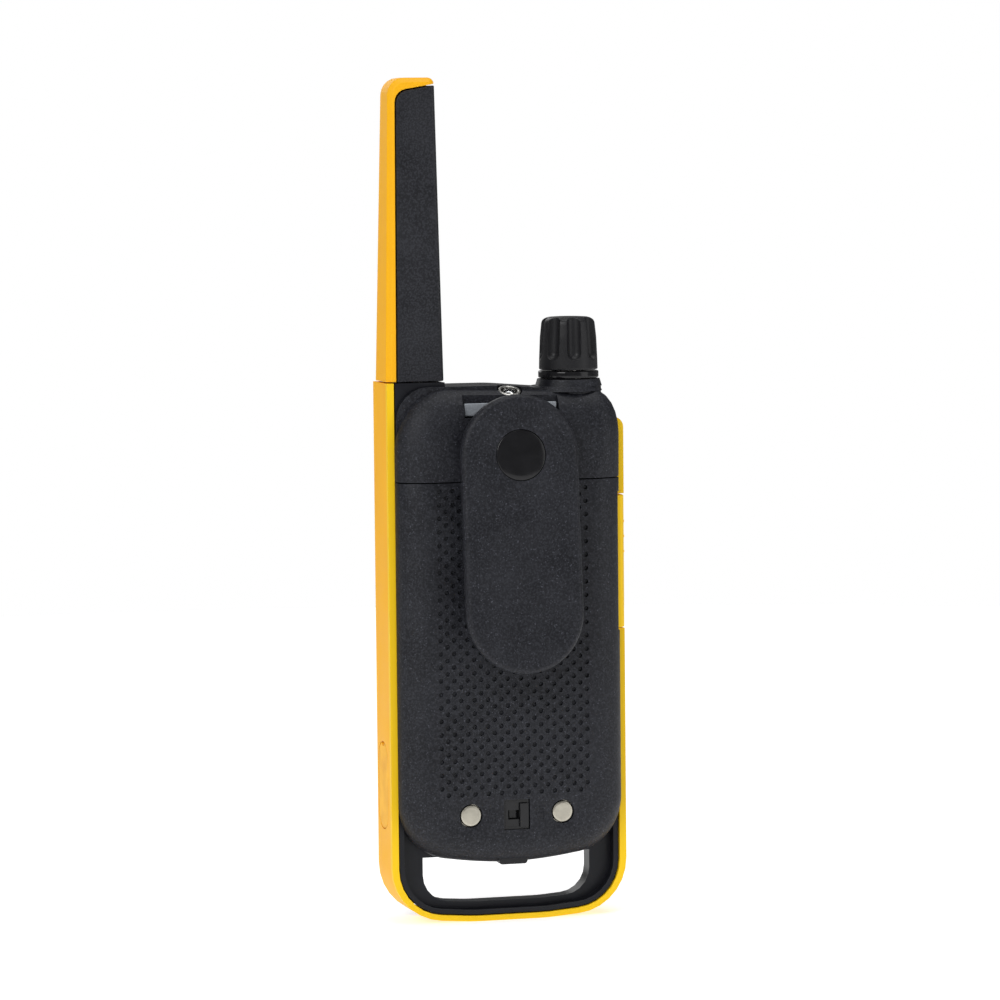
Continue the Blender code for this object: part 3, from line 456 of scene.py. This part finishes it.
def filled(loops, extra=()):
    """Triangles over the area inside closed outlines: (points, index triples)."""
    points, edges = [], []
    for loop in loops:
        first = len(points)
        points += [Vector(p) for p in loop]
        edges += [(first + i, first + (i + 1) % len(loop)) for i in range(len(loop))]
    points += [Vector(p) for p in extra]
    verts, _, faces, *_ = delaunay_2d_cdt(points, edges, [], 0, 1e-7)
    kept = []
    for face in faces:
        middle = sum((verts[i] for i in face), Vector((0.0, 0.0))) / len(face)
        if inside(middle, loops):
            kept.append(tuple(face))
    return verts, kept


def facing_back(a, b, depth):
    """The place of a point of a prism whose outline is in x and z."""
    return (a, depth, b)


def add_prism(bm, loops, place, low, high):
    """A flat outline with holes, thick from low to high; place(a, b, depth) gives each vertex."""
    verts, faces = filled(loops)
    lower = [bm.verts.new(place(v.x, v.y, low)) for v in verts]
    upper = [bm.verts.new(place(v.x, v.y, high)) for v in verts]
    for face in faces:
        bm.faces.new([lower[i] for i in face])
        bm.faces.new([upper[i] for i in reversed(face)])
    first = 0
    for loop in loops:
        for i in range(len(loop)):
            a, b = first + i, first + (i + 1) % len(loop)
            bm.faces.new((lower[a], lower[b], upper[b], upper[a]))
        first += len(loop)


def add_band(bm, lower, upper):
    """Quads between two closed rows of equally many vertices."""
    for i in range(len(lower)):
        j = (i + 1) % len(lower)
        bm.faces.new((lower[i], lower[j], upper[j], upper[i]))


def add_rings(bm, rings):
    """Quads through closed rings of equally many points; returns the rows of vertices."""
    rows = [[bm.verts.new(p) for p in ring] for ring in rings]
    for lower, upper in zip(rows, rows[1:]):
        add_band(bm, lower, upper)
    return rows


def lathed(name, profile, centre, along, material, body, slot, *nodes, steps=96):
    """A turned piece from (radius, height) pairs; the ends close where the radius is 0."""
    bm = bmesh.new()
    rings = []
    for radius, height in profile:
        ring = []
        for a, b in circle(0.0, 0.0, max(radius, 0.001), steps):
            point = (a, b, height) if along == "Z" else (a, height, b)
            ring.append(tuple(c + p for c, p in zip(centre, point)))
        rings.append(ring)
    rows = add_rings(bm, rings)
    if profile[0][0] > 0 and profile[-1][0] > 0:
        add_band(bm, rows[-1], rows[0])
    else:
        bm.faces.new(rows[0])
        bm.faces.new(rows[-1])
    return piece(name, bm, material, body, slot, *nodes, angle=30.0)


def applied(bm, name, build):
    """Run modifiers over mesh work and give the result back as mesh work.

    build adds the modifiers, and returns the cutters that they use, if any.
    """
    obj = cutter(bm, name)
    tools = build(obj) or []
    graph = bpy.context.evaluated_depsgraph_get()
    result = bpy.data.meshes.new_from_object(obj.evaluated_get(graph))
    for item in [obj, *tools]:
        bpy.data.objects.remove(item, do_unlink=True)
    out = bmesh.new()
    out.from_mesh(result)
    return out


def cutter(bm, name):
    """Mesh work as a passing object, in millimetres, for modifiers to work on or with."""
    bmesh.ops.recalc_face_normals(bm, faces=bm.faces)
    return linked(name, mesh_from(bm, name))


def box_cutter(name, low, high):
    bm = bmesh.new()
    bmesh.ops.create_cube(bm, size=1.0)
    size = [h - l for l, h in zip(low, high)]
    centre = [(h + l) / 2 for l, h in zip(low, high)]
    bmesh.ops.transform(bm, matrix=Matrix.Translation(centre) @ Matrix.Diagonal((*size, 1.0)),
                        verts=bm.verts)
    return cutter(bm, name)


def prism_cutter(name, loop, low, high):
    bm = bmesh.new()
    add_prism(bm, [loop], facing_back, low, high)
    return cutter(bm, name)


def round_edges(obj, width, angle):
    """Bevel the edges that are sharper than angle degrees; the width is in the object's own units."""
    bevel = obj.modifiers.new("edges", "BEVEL")
    bevel.width = width
    bevel.segments = 2
    bevel.limit_method = "ANGLE"
    bevel.angle_limit = math.radians(angle)
    return bevel


def soften(obj, width):
    """Weld a CAD node's split corners, merge its flat facets and round its edges, all as modifiers."""
    mesh = obj.data
    custom = mesh.attributes.get("custom_normal")
    if custom:
        mesh.attributes.remove(custom)
    mesh.shade_smooth()
    weld = obj.modifiers.new("weld", "WELD")
    weld.merge_threshold = 0.002 * MM
    flat = obj.modifiers.new("flat", "DECIMATE")
    flat.decimate_type = "DISSOLVE"
    flat.angle_limit = math.radians(0.8)
    if width > 0:
        round_edges(obj, width * MM, 32.0).miter_outer = "MITER_ARC"
    normals = obj.modifiers.new("normals", "WEIGHTED_NORMAL")
    normals.keep_sharp = False
    normals.weight = 50


# ---------------------------------------------------------------- battery door

def door_ring(turn, wall=0.0, arc=20, rise=10):
    """The door's outline at a point of its shoulder, from 0 at the waist to 1 at the face."""
    inset = 1 - math.cos(math.pi / 2 * turn)
    y = DOOR_START + (DOOR_FACE - DOOR_START) * math.sin(math.pi / 2 * turn)
    if wall:
        y = DOOR_START - 1.0 + (DOOR_FACE - wall - DOOR_START + 1.0) * math.sin(math.pi / 2 * turn)
    half = DOOR_HALF - wall - (DOOR_ROLL - wall) * inset
    cx, cz, rx, rz = CORNER
    rx -= wall + (DOOR_ROLL - wall) * inset
    rz -= wall + (FOOT_ROLL - wall) * inset
    foot = DOOR_FOOT + wall + (FOOT_ROLL - wall) * inset
    right = [(half, DOOR_TOP - (DOOR_TOP - cz) * i / rise) for i in range(rise)]
    for i in range(arc + 1):
        angle = math.radians(360 - 85 * i / arc)
        right.append((cx + rx * math.cos(angle), cz + rz * math.sin(angle)))
    side_x, side_z = right[-1]
    for i in range(1, 9):
        share = 1 - i / 9
        right.append((side_x * share, foot + (side_z - foot) * share ** 1.8))
    left = [(-x, z) for x, z in reversed(right)]
    return [(x, y, z) for x, z in right + [(0.0, foot)] + left]


def door_solid(wall, top):
    bm = bmesh.new()
    steps = 14
    rings = [door_ring(i / steps, wall) for i in range(steps + 1)]
    if top != DOOR_TOP:
        rings = [[(x, y, min(z, top)) for x, y, z in ring] for ring in rings]
    rows = add_rings(bm, rings)
    bm.faces.new(rows[0])
    bm.faces.new(rows[-1])
    return bm


def dimple_places():
    places = []
    for column in range(DIMPLE_COLUMNS):
        x = DIMPLE_MIDDLE + (column - (DIMPLE_COLUMNS - 1) / 2) * DIMPLE_PITCH_X
        z = DIMPLE_TOP - (DIMPLE_PITCH_Z / 2 if column % 2 else 0.0)
        while z > DIMPLE_FOOT - 0.1:
            places.append((x, z))
            z -= DIMPLE_PITCH_Z
    return places


def dimple_face(bm, places):
    """Refill the door's flat face with a skin that has a round dimple at each place."""
    level = DOOR_FACE - 0.001
    flat = [f for f in bm.faces if f.normal.y > 0.9999 and all(v.co.y > level for v in f.verts)]
    members = set(flat)
    border = [e for e in bm.edges if sum(f in members for f in e.link_faces) == 1]
    bmesh.ops.delete(bm, geom=flat, context="FACES_KEEP_BOUNDARY")
    left = set(border)
    loops = []
    while left:
        edge = left.pop()
        loop = [edge.verts[0], edge.verts[1]]
        while True:
            following = [e for e in loop[-1].link_edges if e in left]
            if not following:
                break
            left.discard(following[0])
            loop.append(following[0].other_vert(loop[-1]))
            if loop[-1] == loop[0]:
                loop.pop()
                break
        loops.append(loop)
    outlines = [[(v.co.x, v.co.z) for v in loop] for loop in loops]
    rims = [circle(x, z, DIMPLE_RADIUS, DIMPLE_SIDES) for x, z in places]
    verts, faces = filled(outlines + rims)
    known = [v for loop in loops for v in loop]
    face_verts = known + [bm.verts.new((v.x, DOOR_FACE, v.y)) for v in verts[len(known):]]
    for face in faces:
        bm.faces.new([face_verts[i] for i in face])
    for number, (x, z) in enumerate(places):
        first = len(known) + number * DIMPLE_SIDES
        floor = [bm.verts.new((a, DOOR_FACE - DIMPLE_DEPTH, b))
                 for a, b in circle(x, z, DIMPLE_RADIUS * 0.8, DIMPLE_SIDES)]
        add_band(bm, face_verts[first:first + DIMPLE_SIDES], floor)
        bm.faces.new(floor)


def make_door(materials):
    def openings(obj):
        hollow = cutter(door_solid(DOOR_WALL, DOOR_TOP - DOOR_WALL), "hollow")
        tools = [
            hollow,
            box_cutter("notch", (-40, 0, 68.6), (-25.5, 9.6, 102.0)),
            box_cutter("recess", (-3.2, 12.0, 22.5), (3.2, 20, 29.7)),
            box_cutter("slot", (-2.75, 0, 24.6), (2.15, 20, 27.4)),
            prism_cutter("hole_right", circle(CONTACT[0], CONTACT[1], 2.8, 48), 0, 20),
            prism_cutter("hole_left", circle(-CONTACT[0], CONTACT[1], 2.8, 48), 0, 20),
        ]
        for tool in tools:
            modifier = obj.modifiers.new(tool.name, "BOOLEAN")
            modifier.operation = "DIFFERENCE"
            modifier.solver = "EXACT"
            modifier.object = tool
        return tools

    def rounding(obj):
        round_edges(obj, 0.22, 40.0)

    bm = applied(door_solid(0.0, DOOR_TOP), "door_shell", openings)
    bmesh.ops.remove_doubles(bm, verts=bm.verts, dist=0.001)
    bm = applied(bm, "door_rounded", rounding)
    bm.normal_update()
    dimple_face(bm, dimple_places())
    piece("door_shell_dimpled", bm, materials["black_plastic"], "door", "black_plastic",
          "battery_door", angle=34.0)


def make_pull_tab(materials):
    """The finger tab under the door's lower edge, with rounded ends."""
    bm = bmesh.new()
    outline = []
    for cx, cz, start in ((3.0, 16.2, 0), (-2.4, 16.2, 90), (-2.4, 14.75, 180), (3.0, 14.75, 270)):
        for i in range(7):
            angle = math.radians(start + 15 * i)
            outline.append((cx + 0.8 * math.cos(angle), cz + 0.8 * math.sin(angle)))
    add_prism(bm, [outline], facing_back, 7.6, 10.4)
    tab = piece("door_pull_tab", bm, materials["smooth_black"], "door", "black_plastic")
    round_edges(tab, 0.3 * MM, 30.0)


def make_lock_marks(materials):
    """Small raised padlock outlines on either side of the latch, one open and one closed."""
    def stroke(bm, points):
        """A raised line through points, as one flat ribbon with thickness."""
        left, right = [], []
        for i, point in enumerate(points):
            before, after = points[max(i - 1, 0)], points[min(i + 1, len(points) - 1)]
            run = (Vector(after) - Vector(before)).normalized()
            across = Vector((-run.y, run.x)) * MARK_LINE / 2
            left.append(tuple(Vector(point) + across))
            right.append(tuple(Vector(point) - across))
        add_prism(bm, [left + right[::-1]], facing_back, MARK_LOW, MARK_HIGH)

    for name, x, first in (("lock_mark_open", -5.9, 55.0), ("lock_mark_closed", 6.0, 0.0)):
        bm = bmesh.new()
        corners = [(x - 1.0, 24.6), (x + 1.0, 24.6), (x + 1.0, 26.3), (x - 1.0, 26.3)]
        inner = [(x - 0.78, 24.82), (x + 0.78, 24.82), (x + 0.78, 26.08), (x - 0.78, 26.08)]
        add_prism(bm, [corners, inner], facing_back, MARK_LOW, MARK_HIGH)
        arch = [(x - 0.7, 26.35)]
        for i in range(13):
            angle = math.radians(180 - (180 - first) * i / 12)
            arch.append((x + 0.7 * math.cos(angle), 26.9 + 0.75 * math.sin(angle)))
        if not first:
            arch.append((x + 0.7, 26.35))
        stroke(bm, arch)
        piece(name, bm, materials["black_plastic"], "door", "black_plastic")


def make_latch_track(materials):
    """The dark slide plate on the floor of the latch's recess, with a raised frame round its slot."""
    bm = bmesh.new()
    plate = [(-3.12, 22.6), (3.12, 22.6), (3.12, 29.6), (-3.12, 29.6)]
    slot = [(-2.55, 24.9), (2.0, 24.9), (2.0, 27.1), (-2.55, 27.1)]
    add_prism(bm, [plate, slot], facing_back, 12.02, 12.1)
    outer = [(-0.3, 22.9), (2.75, 22.9), (2.75, 29.3), (-0.3, 29.3)]
    inner = [(-0.3, 23.2), (2.4, 23.2), (2.4, 29.0), (-0.3, 29.0)]
    add_prism(bm, [outer + inner[::-1]], facing_back, 12.08, 12.2)
    piece("latch_track", bm, materials["gloss_black"], "door", "gloss_black")


# ---------------------------------------------------------------- belt clip

def clip_y(z):
    """The clip's outer face at this height: upright at the top, leaning out below the bend."""
    drop = CLIP_TOP - z - CLIP_BEND
    return CLIP_TOP_Y + CLIP_LEAN * (math.sqrt(drop ** 2 + 36.0) + drop) / 2


def clip_outline(inset, arc=36, rise=18):
    """The clip's capsule outline drawn in by inset."""
    radius = CLIP_HALF - inset
    high, low = CLIP_TOP - CLIP_HALF, CLIP_FOOT + CLIP_HALF
    points = [(radius, low + (high - low) * i / rise) for i in range(rise)]
    points += [(radius * math.cos(math.pi * i / arc), high + radius * math.sin(math.pi * i / arc))
               for i in range(arc)]
    points += [(-radius, high - (high - low) * i / rise) for i in range(rise)]
    points += [(-radius * math.cos(math.pi * i / arc), low - radius * math.sin(math.pi * i / arc))
               for i in range(arc)]
    return points


def make_clip(materials):
    bm = bmesh.new()

    def at(x, z, depth):
        return (x, clip_y(z) - depth, z)

    profile = []
    for i in range(9):
        angle = math.pi / 2 * i / 8
        profile.append((CLIP_RIM * (1 - math.sin(angle)), CLIP_RIM * (1 - math.cos(angle))))
    for i in range(5):
        angle = math.pi / 2 * i / 4
        profile.append((0.6 * (1 - math.cos(angle)), CLIP_THICKNESS - 0.6 + 0.6 * math.sin(angle)))
    rings = [[at(x, z, depth) for x, z in clip_outline(inset)] for inset, depth in profile]
    rows = add_rings(bm, rings)
    recess = circle(0.0, BADGE_Z, 6.1, 64)
    grid = [(x * 2.4, CLIP_FOOT + 4 + z * 2.4) for x in range(-5, 6) for z in range(25)]
    for row, inset, loops in ((rows[0], profile[0][0], [recess]), (rows[-1], profile[-1][0], [])):
        outline = clip_outline(inset)
        inner = clip_outline(inset + 1.2)
        depth = 0.0 if loops else CLIP_THICKNESS
        extra = [p for p in grid if inside(p, [inner])
                 and (not loops or (Vector(p) - Vector((0.0, BADGE_Z))).length > 7.0)]
        verts, faces = filled([outline] + loops, extra)
        known = row + [bm.verts.new(at(v.x, v.y, depth)) for v in verts[len(row):]]
        for face in faces:
            bm.faces.new([known[i] for i in face])
        if loops:
            rim = known[len(outline):len(outline) + len(recess)]
            lip = [bm.verts.new(at(x, z, 0.9)) for x, z in recess]
            add_band(bm, rim, lip)
            bm.faces.new(lip)
    piece("clip_blade", bm, materials["black_plastic"], "clip", "black_plastic", "belt_clip")
    pin_y, pin_z = CLIP_PIN
    bm = bmesh.new()
    for side in (-1, 1):
        top = clip_y(pin_z) - 1.5
        outline = []
        for i in range(17):
            angle = math.pi * i / 16
            outline.append((pin_y + LUG_RADIUS * math.sin(angle + math.pi),
                            pin_z - LUG_RADIUS * math.cos(angle)))
        outline += [(top, pin_z + LUG_RADIUS), (top, pin_z - LUG_RADIUS)]
        add_prism(bm, [outline, circle(pin_y, pin_z, 1.05, 32)],
                  lambda a, b, depth, s=side: (s * depth, a, b), 4.8, 6.7)
    piece("clip_lugs", bm, materials["black_plastic"], "clip", "black_plastic")
    lean = math.atan2(clip_y(BADGE_Z - 5) - clip_y(BADGE_Z + 5), 10.0)
    badge = lathed("clip_badge_disc",
                   [(0, 0.06), (3.5, 0.05), (5.75, 0.0), (5.9, -0.05), (5.98, -0.14), (6.0, -0.25),
                    (6.0, -0.6), (0, -0.6)],
                   (0, 0, 0), "Y", materials["gloss_black"], "clip", "gloss_black", "clip_badge")
    badge.matrix_world = (Matrix.Translation((0, clip_y(BADGE_Z) * MM, BADGE_Z * MM))
                          @ Matrix.Rotation(lean, 4, "X"))


# ---------------------------------------------------------------- knob

def flute_cut(angle, height):
    """Radius at which a flute's wall lies in this direction, or None where there is no flute."""
    nearest = min((abs((angle - math.radians(FLUTE_START) - 2 * math.pi * i / FLUTES + math.pi)
                       % (2 * math.pi) - math.pi)) for i in range(FLUTES))
    low, high = FLUTE_LINE
    away = low + (high - low) * (height - FLUTE_LINE_LOW) / FLUTE_LINE_RISE
    radius = FLUTE_RADIUS
    if height < FLUTE_FOOT:
        drop = FLUTE_FOOT - height
        if drop >= FLUTE_RADIUS:
            return None
        radius = math.sqrt(FLUTE_RADIUS ** 2 - drop ** 2)
    across = away * math.sin(nearest)
    if across >= radius:
        return None
    return away * math.cos(nearest) - math.sqrt(radius ** 2 - across ** 2)


def knob_profile(height):
    """Outer radius of the knob by height, rounded at the shoulder and at the foot."""
    stations = [(KNOB_FOOT, 6.8), (131.0, 6.95), (131.2, 7.0), (133.5, 6.94), (138.5, 6.74),
                (142.0, 6.37), (142.35, 6.27), (142.7, 6.07), (143.0, 5.7), (143.25, 5.2), (143.4, 4.6)]
    for (low, first), (high, last) in zip(stations, stations[1:]):
        if height <= high:
            share = (height - low) / (high - low)
            return first + (last - first) * share
    return stations[-1][1]


def make_knob(materials):
    x, y = KNOB_AXIS
    heights = ([KNOB_FOOT, 131.0, 131.2, 131.6, 132.2, 132.8] + [133.1 + 0.06 * i for i in range(33)]
               + [135.1 + 0.5 * i for i in range(14)] + [142.0 + 0.07 * i for i in range(21)])
    bm = bmesh.new()
    rings = []
    for height in heights:
        ring = []
        for i in range(KNOB_STEPS):
            angle = 2 * math.pi * i / KNOB_STEPS
            radius = knob_profile(height)
            wall = flute_cut(angle, height)
            if wall is not None and wall < radius + FLUTE_BLEND:
                mix = max(FLUTE_BLEND - abs(radius - wall), 0.0) / FLUTE_BLEND
                radius = min(radius, wall) - mix * mix * FLUTE_BLEND / 4
            ring.append((x + radius * math.cos(angle), y + radius * math.sin(angle), height))
        rings.append(ring)
    for radius, height in ((3.4, 143.48), (2.0, 143.5)):
        rings.append([(a, b, height) for a, b in circle(x, y, radius, KNOB_STEPS)])
    rows = add_rings(bm, rings)
    bm.faces.new(rows[-1])
    bore_radius, bore_end = KNOB_BORE
    bore = [[(a, b, z) for a, b in circle(x, y, bore_radius, KNOB_STEPS)] for z in (KNOB_FOOT, bore_end)]
    inner = add_rings(bm, bore)
    bm.faces.new(inner[-1])
    add_band(bm, rows[0], inner[0])
    piece("knob_cap", bm, materials["smooth_black"], "knob", "smooth_black", "volume_knob", angle=50.0)
    lathed("knob_ring_gloss", [(3.9, 1.6), (6.95, 1.6), (7.1, 1.55), (7.18, 1.4), (7.2, 1.2), (7.2, 0.3),
                               (7.15, 0.1), (7.0, 0.0), (3.9, 0.0)],
           (x, y, RING_FOOT), "Z", materials["gloss_black"], "case", "gloss_black", "knob_ring")


# ---------------------------------------------------------------- small turned pieces

def make_small_round(materials):
    """The two charging contacts, and the torch's bezel and dome."""
    for side, hand in ((1, "right"), (-1, "left")):
        lathed(f"contact_face_{hand}",
               [(0, 12.68), (1.9, 12.7), (2.2, 12.68), (2.4, 12.6), (2.5, 12.42), (2.5, 10.9), (3.3, 10.9),
                (3.3, 10.2), (0, 10.2)],
               (side * CONTACT[0], 0, CONTACT[1]), "Y", materials["nickel"], "door", "nickel",
               f"charge_contact_{hand}", steps=64)
    tilt = Matrix.Translation(Vector(TORCH) * MM) @ Matrix.Rotation(math.radians(-TORCH_TILT), 4, "X")
    bezel = lathed("torch_bezel", [(2.0, -0.15), (2.2, 0.0), (2.5, 0.0), (2.7, -0.1), (2.8, -0.35),
                                   (2.8, -1.7), (2.0, -1.7)],
                   (0, 0, 0), "Z", materials["steel"], "case", "steel", "torch_ring", steps=64)
    dome = lathed("torch_dome", [(0, 0.1), (0.6, 0.05), (1.1, -0.12), (1.5, -0.38), (1.7, -0.7),
                                 (1.7, -1.7), (0, -1.7)],
                  (0, 0, 0), "Z", materials["clear"], "case", "clear", "torch_lens", steps=48)
    for turned in (bezel, dome):
        turned.matrix_world = tilt


def make_key_marks(materials):
    """Plain raised signs on the keys: minus, plus, three bars, a ring and an arrow."""
    def bars(boxes):
        return [[(x0, z0), (x1, z0), (x1, z1), (x0, z1)] for x0, x1, z0, z1 in boxes]

    signs = {
        "minus": bars([(-12.2, -9.8, 70.75, 71.25)]),
        "plus": [[(9.8, 70.75), (10.75, 70.75), (10.75, 69.8), (11.25, 69.8), (11.25, 70.75), (12.2, 70.75),
                  (12.2, 71.25), (11.25, 71.25), (11.25, 72.2), (10.75, 72.2), (10.75, 71.25),
                  (9.8, 71.25)]],
        "menu": bars([(-1.4, 1.4, 72.0, 72.4), (-1.4, 1.4, 70.8, 71.2), (-1.4, 1.4, 69.6, 70.0)]),
        "scan": [[(6.2, 58.8), (8.4, 60.0), (6.2, 61.2)]],
    }
    for key, loops in signs.items():
        bm = bmesh.new()
        for loop in loops:
            add_prism(bm, [loop], facing_back, SIGN_LOW, SIGN_HIGH)
        piece(f"sign_{key}", bm, materials["grey_plastic"], f"key_{key}_body", "grey_plastic")
    bm = bmesh.new()
    add_prism(bm, [circle(-7.0, 60.0, 1.35, 40), circle(-7.0, 60.0, 0.9, 40)], facing_back,
              SIGN_LOW, SIGN_HIGH)
    piece("sign_call", bm, materials["grey_plastic"], "key_call_body", "grey_plastic")


# ---------------------------------------------------------------- stage

def area_light(name, place, aim, size, power):
    """A rectangular light in metres and watts that faces aim."""
    data = bpy.data.lights.new(name, "AREA")
    data.shape = "RECTANGLE"
    data.size, data.size_y = size
    data.energy = power
    light = linked(name, data)
    light.location = place
    light.rotation_euler = (Vector(aim) - Vector(place)).to_track_quat("-Z", "Y").to_euler()


def make_camera():
    azimuth, elevation = math.radians(AZIMUTH), math.radians(ELEVATION)
    out = Vector((math.sin(azimuth) * math.cos(elevation), math.cos(azimuth) * math.cos(elevation),
                  math.sin(elevation)))
    data = bpy.data.cameras.new("camera")
    data.lens = LENS
    data.sensor_width = 36.0
    data.shift_x, data.shift_y = SHIFT
    data.clip_end = 50.0
    camera = linked("camera", data)
    look = (-out).to_track_quat("-Z", "Y").to_matrix().to_4x4()
    camera.matrix_world = (Matrix.Translation((Vector(TARGET) + out * DISTANCE) * MM) @ look
                           @ Matrix.Rotation(math.radians(-ROLL), 4, "Z"))
    bpy.context.scene.camera = camera


def make_floor():
    bm = bmesh.new()
    bmesh.ops.create_circle(bm, cap_ends=True, segments=96, radius=FLOOR_RADIUS)
    mesh = mesh_from(bm, "floor")
    shader = Shader("floor_paper").set(Emission_Color=(1.0, 1.0, 1.0, 1.0), Emission_Strength=0.55)
    cloud = shader.noise(60.0, 2.0)
    shader.link(shader.mix(cloud, (0.88, 0.88, 0.88), (0.9, 0.9, 0.9)), "Base Color")
    shader.link(shader.span(cloud, 0.3, 0.7, 0.75, 0.85), "Roughness")
    mesh.materials.append(shader.material)
    floor = linked("floor", mesh)


def make_light():
    world = bpy.data.worlds.new("studio")
    bpy.context.scene.world = world
    world.use_nodes = True
    nodes, links = world.node_tree.nodes, world.node_tree.links
    nodes["Background"].inputs["Color"].default_value = (1.0, 1.0, 1.0, 1.0)
    path = nodes.new("ShaderNodeLightPath")
    share = nodes.new("ShaderNodeMapRange")
    share.inputs["To Min"].default_value = 0.16
    share.inputs["To Max"].default_value = 1.0
    links.new(path.outputs["Is Camera Ray"], share.inputs["Value"])
    links.new(share.outputs["Result"], nodes["Background"].inputs["Strength"])
    aim = (0.0, 0.0, 0.1)
    area_light("key_light", (0.75, 0.75, 0.75), aim, (0.6, 0.6), 6.5)
    area_light("fill_light", (-0.8, 0.7, 0.35), aim, (0.6, 0.9), 2.0)
    area_light("top_light", (-0.1, 0.1, 1.1), aim, (0.8, 0.8), 5.0)
    area_light("front_light", (0.2, -1.0, 0.6), aim, (0.8, 0.8), 3.0)
    bpy.context.scene.view_settings.view_transform = "Standard"


# ---------------------------------------------------------------- all together

ROUNDING = {
    "bumper_band": 0.3, "rear_housing": 0.28, "front_cover": 0.25, "antenna_sheath": 0.3,
    "antenna_strip": 0.3, "ptt_button": 0.2, "port_cover": 0.2, "door_latch": 0.15, "clip_rail": 0.25,
    "clip_bracket": 0.15, "display_lens": 0.15, "key_minus": 0.15, "key_menu": 0.15, "key_plus": 0.15,
    "key_call": 0.15, "key_scan": 0.15, "battery_plate_foot": 0.08, "battery_plate_head": 0.08,
    "radio_shield": 0.2, "volume_control": 0.2, "antenna_contact": 0.05, "ptt_switch": 0.15,
}

OWN_FINISH = {"rear_housing": "housing", "bumper_band": "band", "ptt_button": "band",
              "antenna_sheath": "blade"}

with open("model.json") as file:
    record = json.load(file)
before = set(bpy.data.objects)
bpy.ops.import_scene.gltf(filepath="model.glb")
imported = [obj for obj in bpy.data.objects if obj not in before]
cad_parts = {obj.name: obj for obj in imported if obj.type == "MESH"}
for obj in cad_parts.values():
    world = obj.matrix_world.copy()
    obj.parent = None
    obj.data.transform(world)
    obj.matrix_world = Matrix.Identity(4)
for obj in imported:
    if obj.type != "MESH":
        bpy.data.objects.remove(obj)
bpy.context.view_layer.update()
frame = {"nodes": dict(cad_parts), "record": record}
materials = make_materials()
slots = {s["node"]: s["material_slot"] for s in frame["record"]["subparts"]}
for node, obj in frame["nodes"].items():
    finish = materials[OWN_FINISH.get(node, slots[node])]
    obj.data.materials.clear()
    obj.data.materials.append(finish)
    soften(obj, ROUNDING.get(node, 0.0))
make_door(materials)
make_pull_tab(materials)
make_lock_marks(materials)
make_latch_track(materials)
make_clip(materials)
make_knob(materials)
make_small_round(materials)
make_key_marks(materials)
make_camera()
make_floor()
make_light()
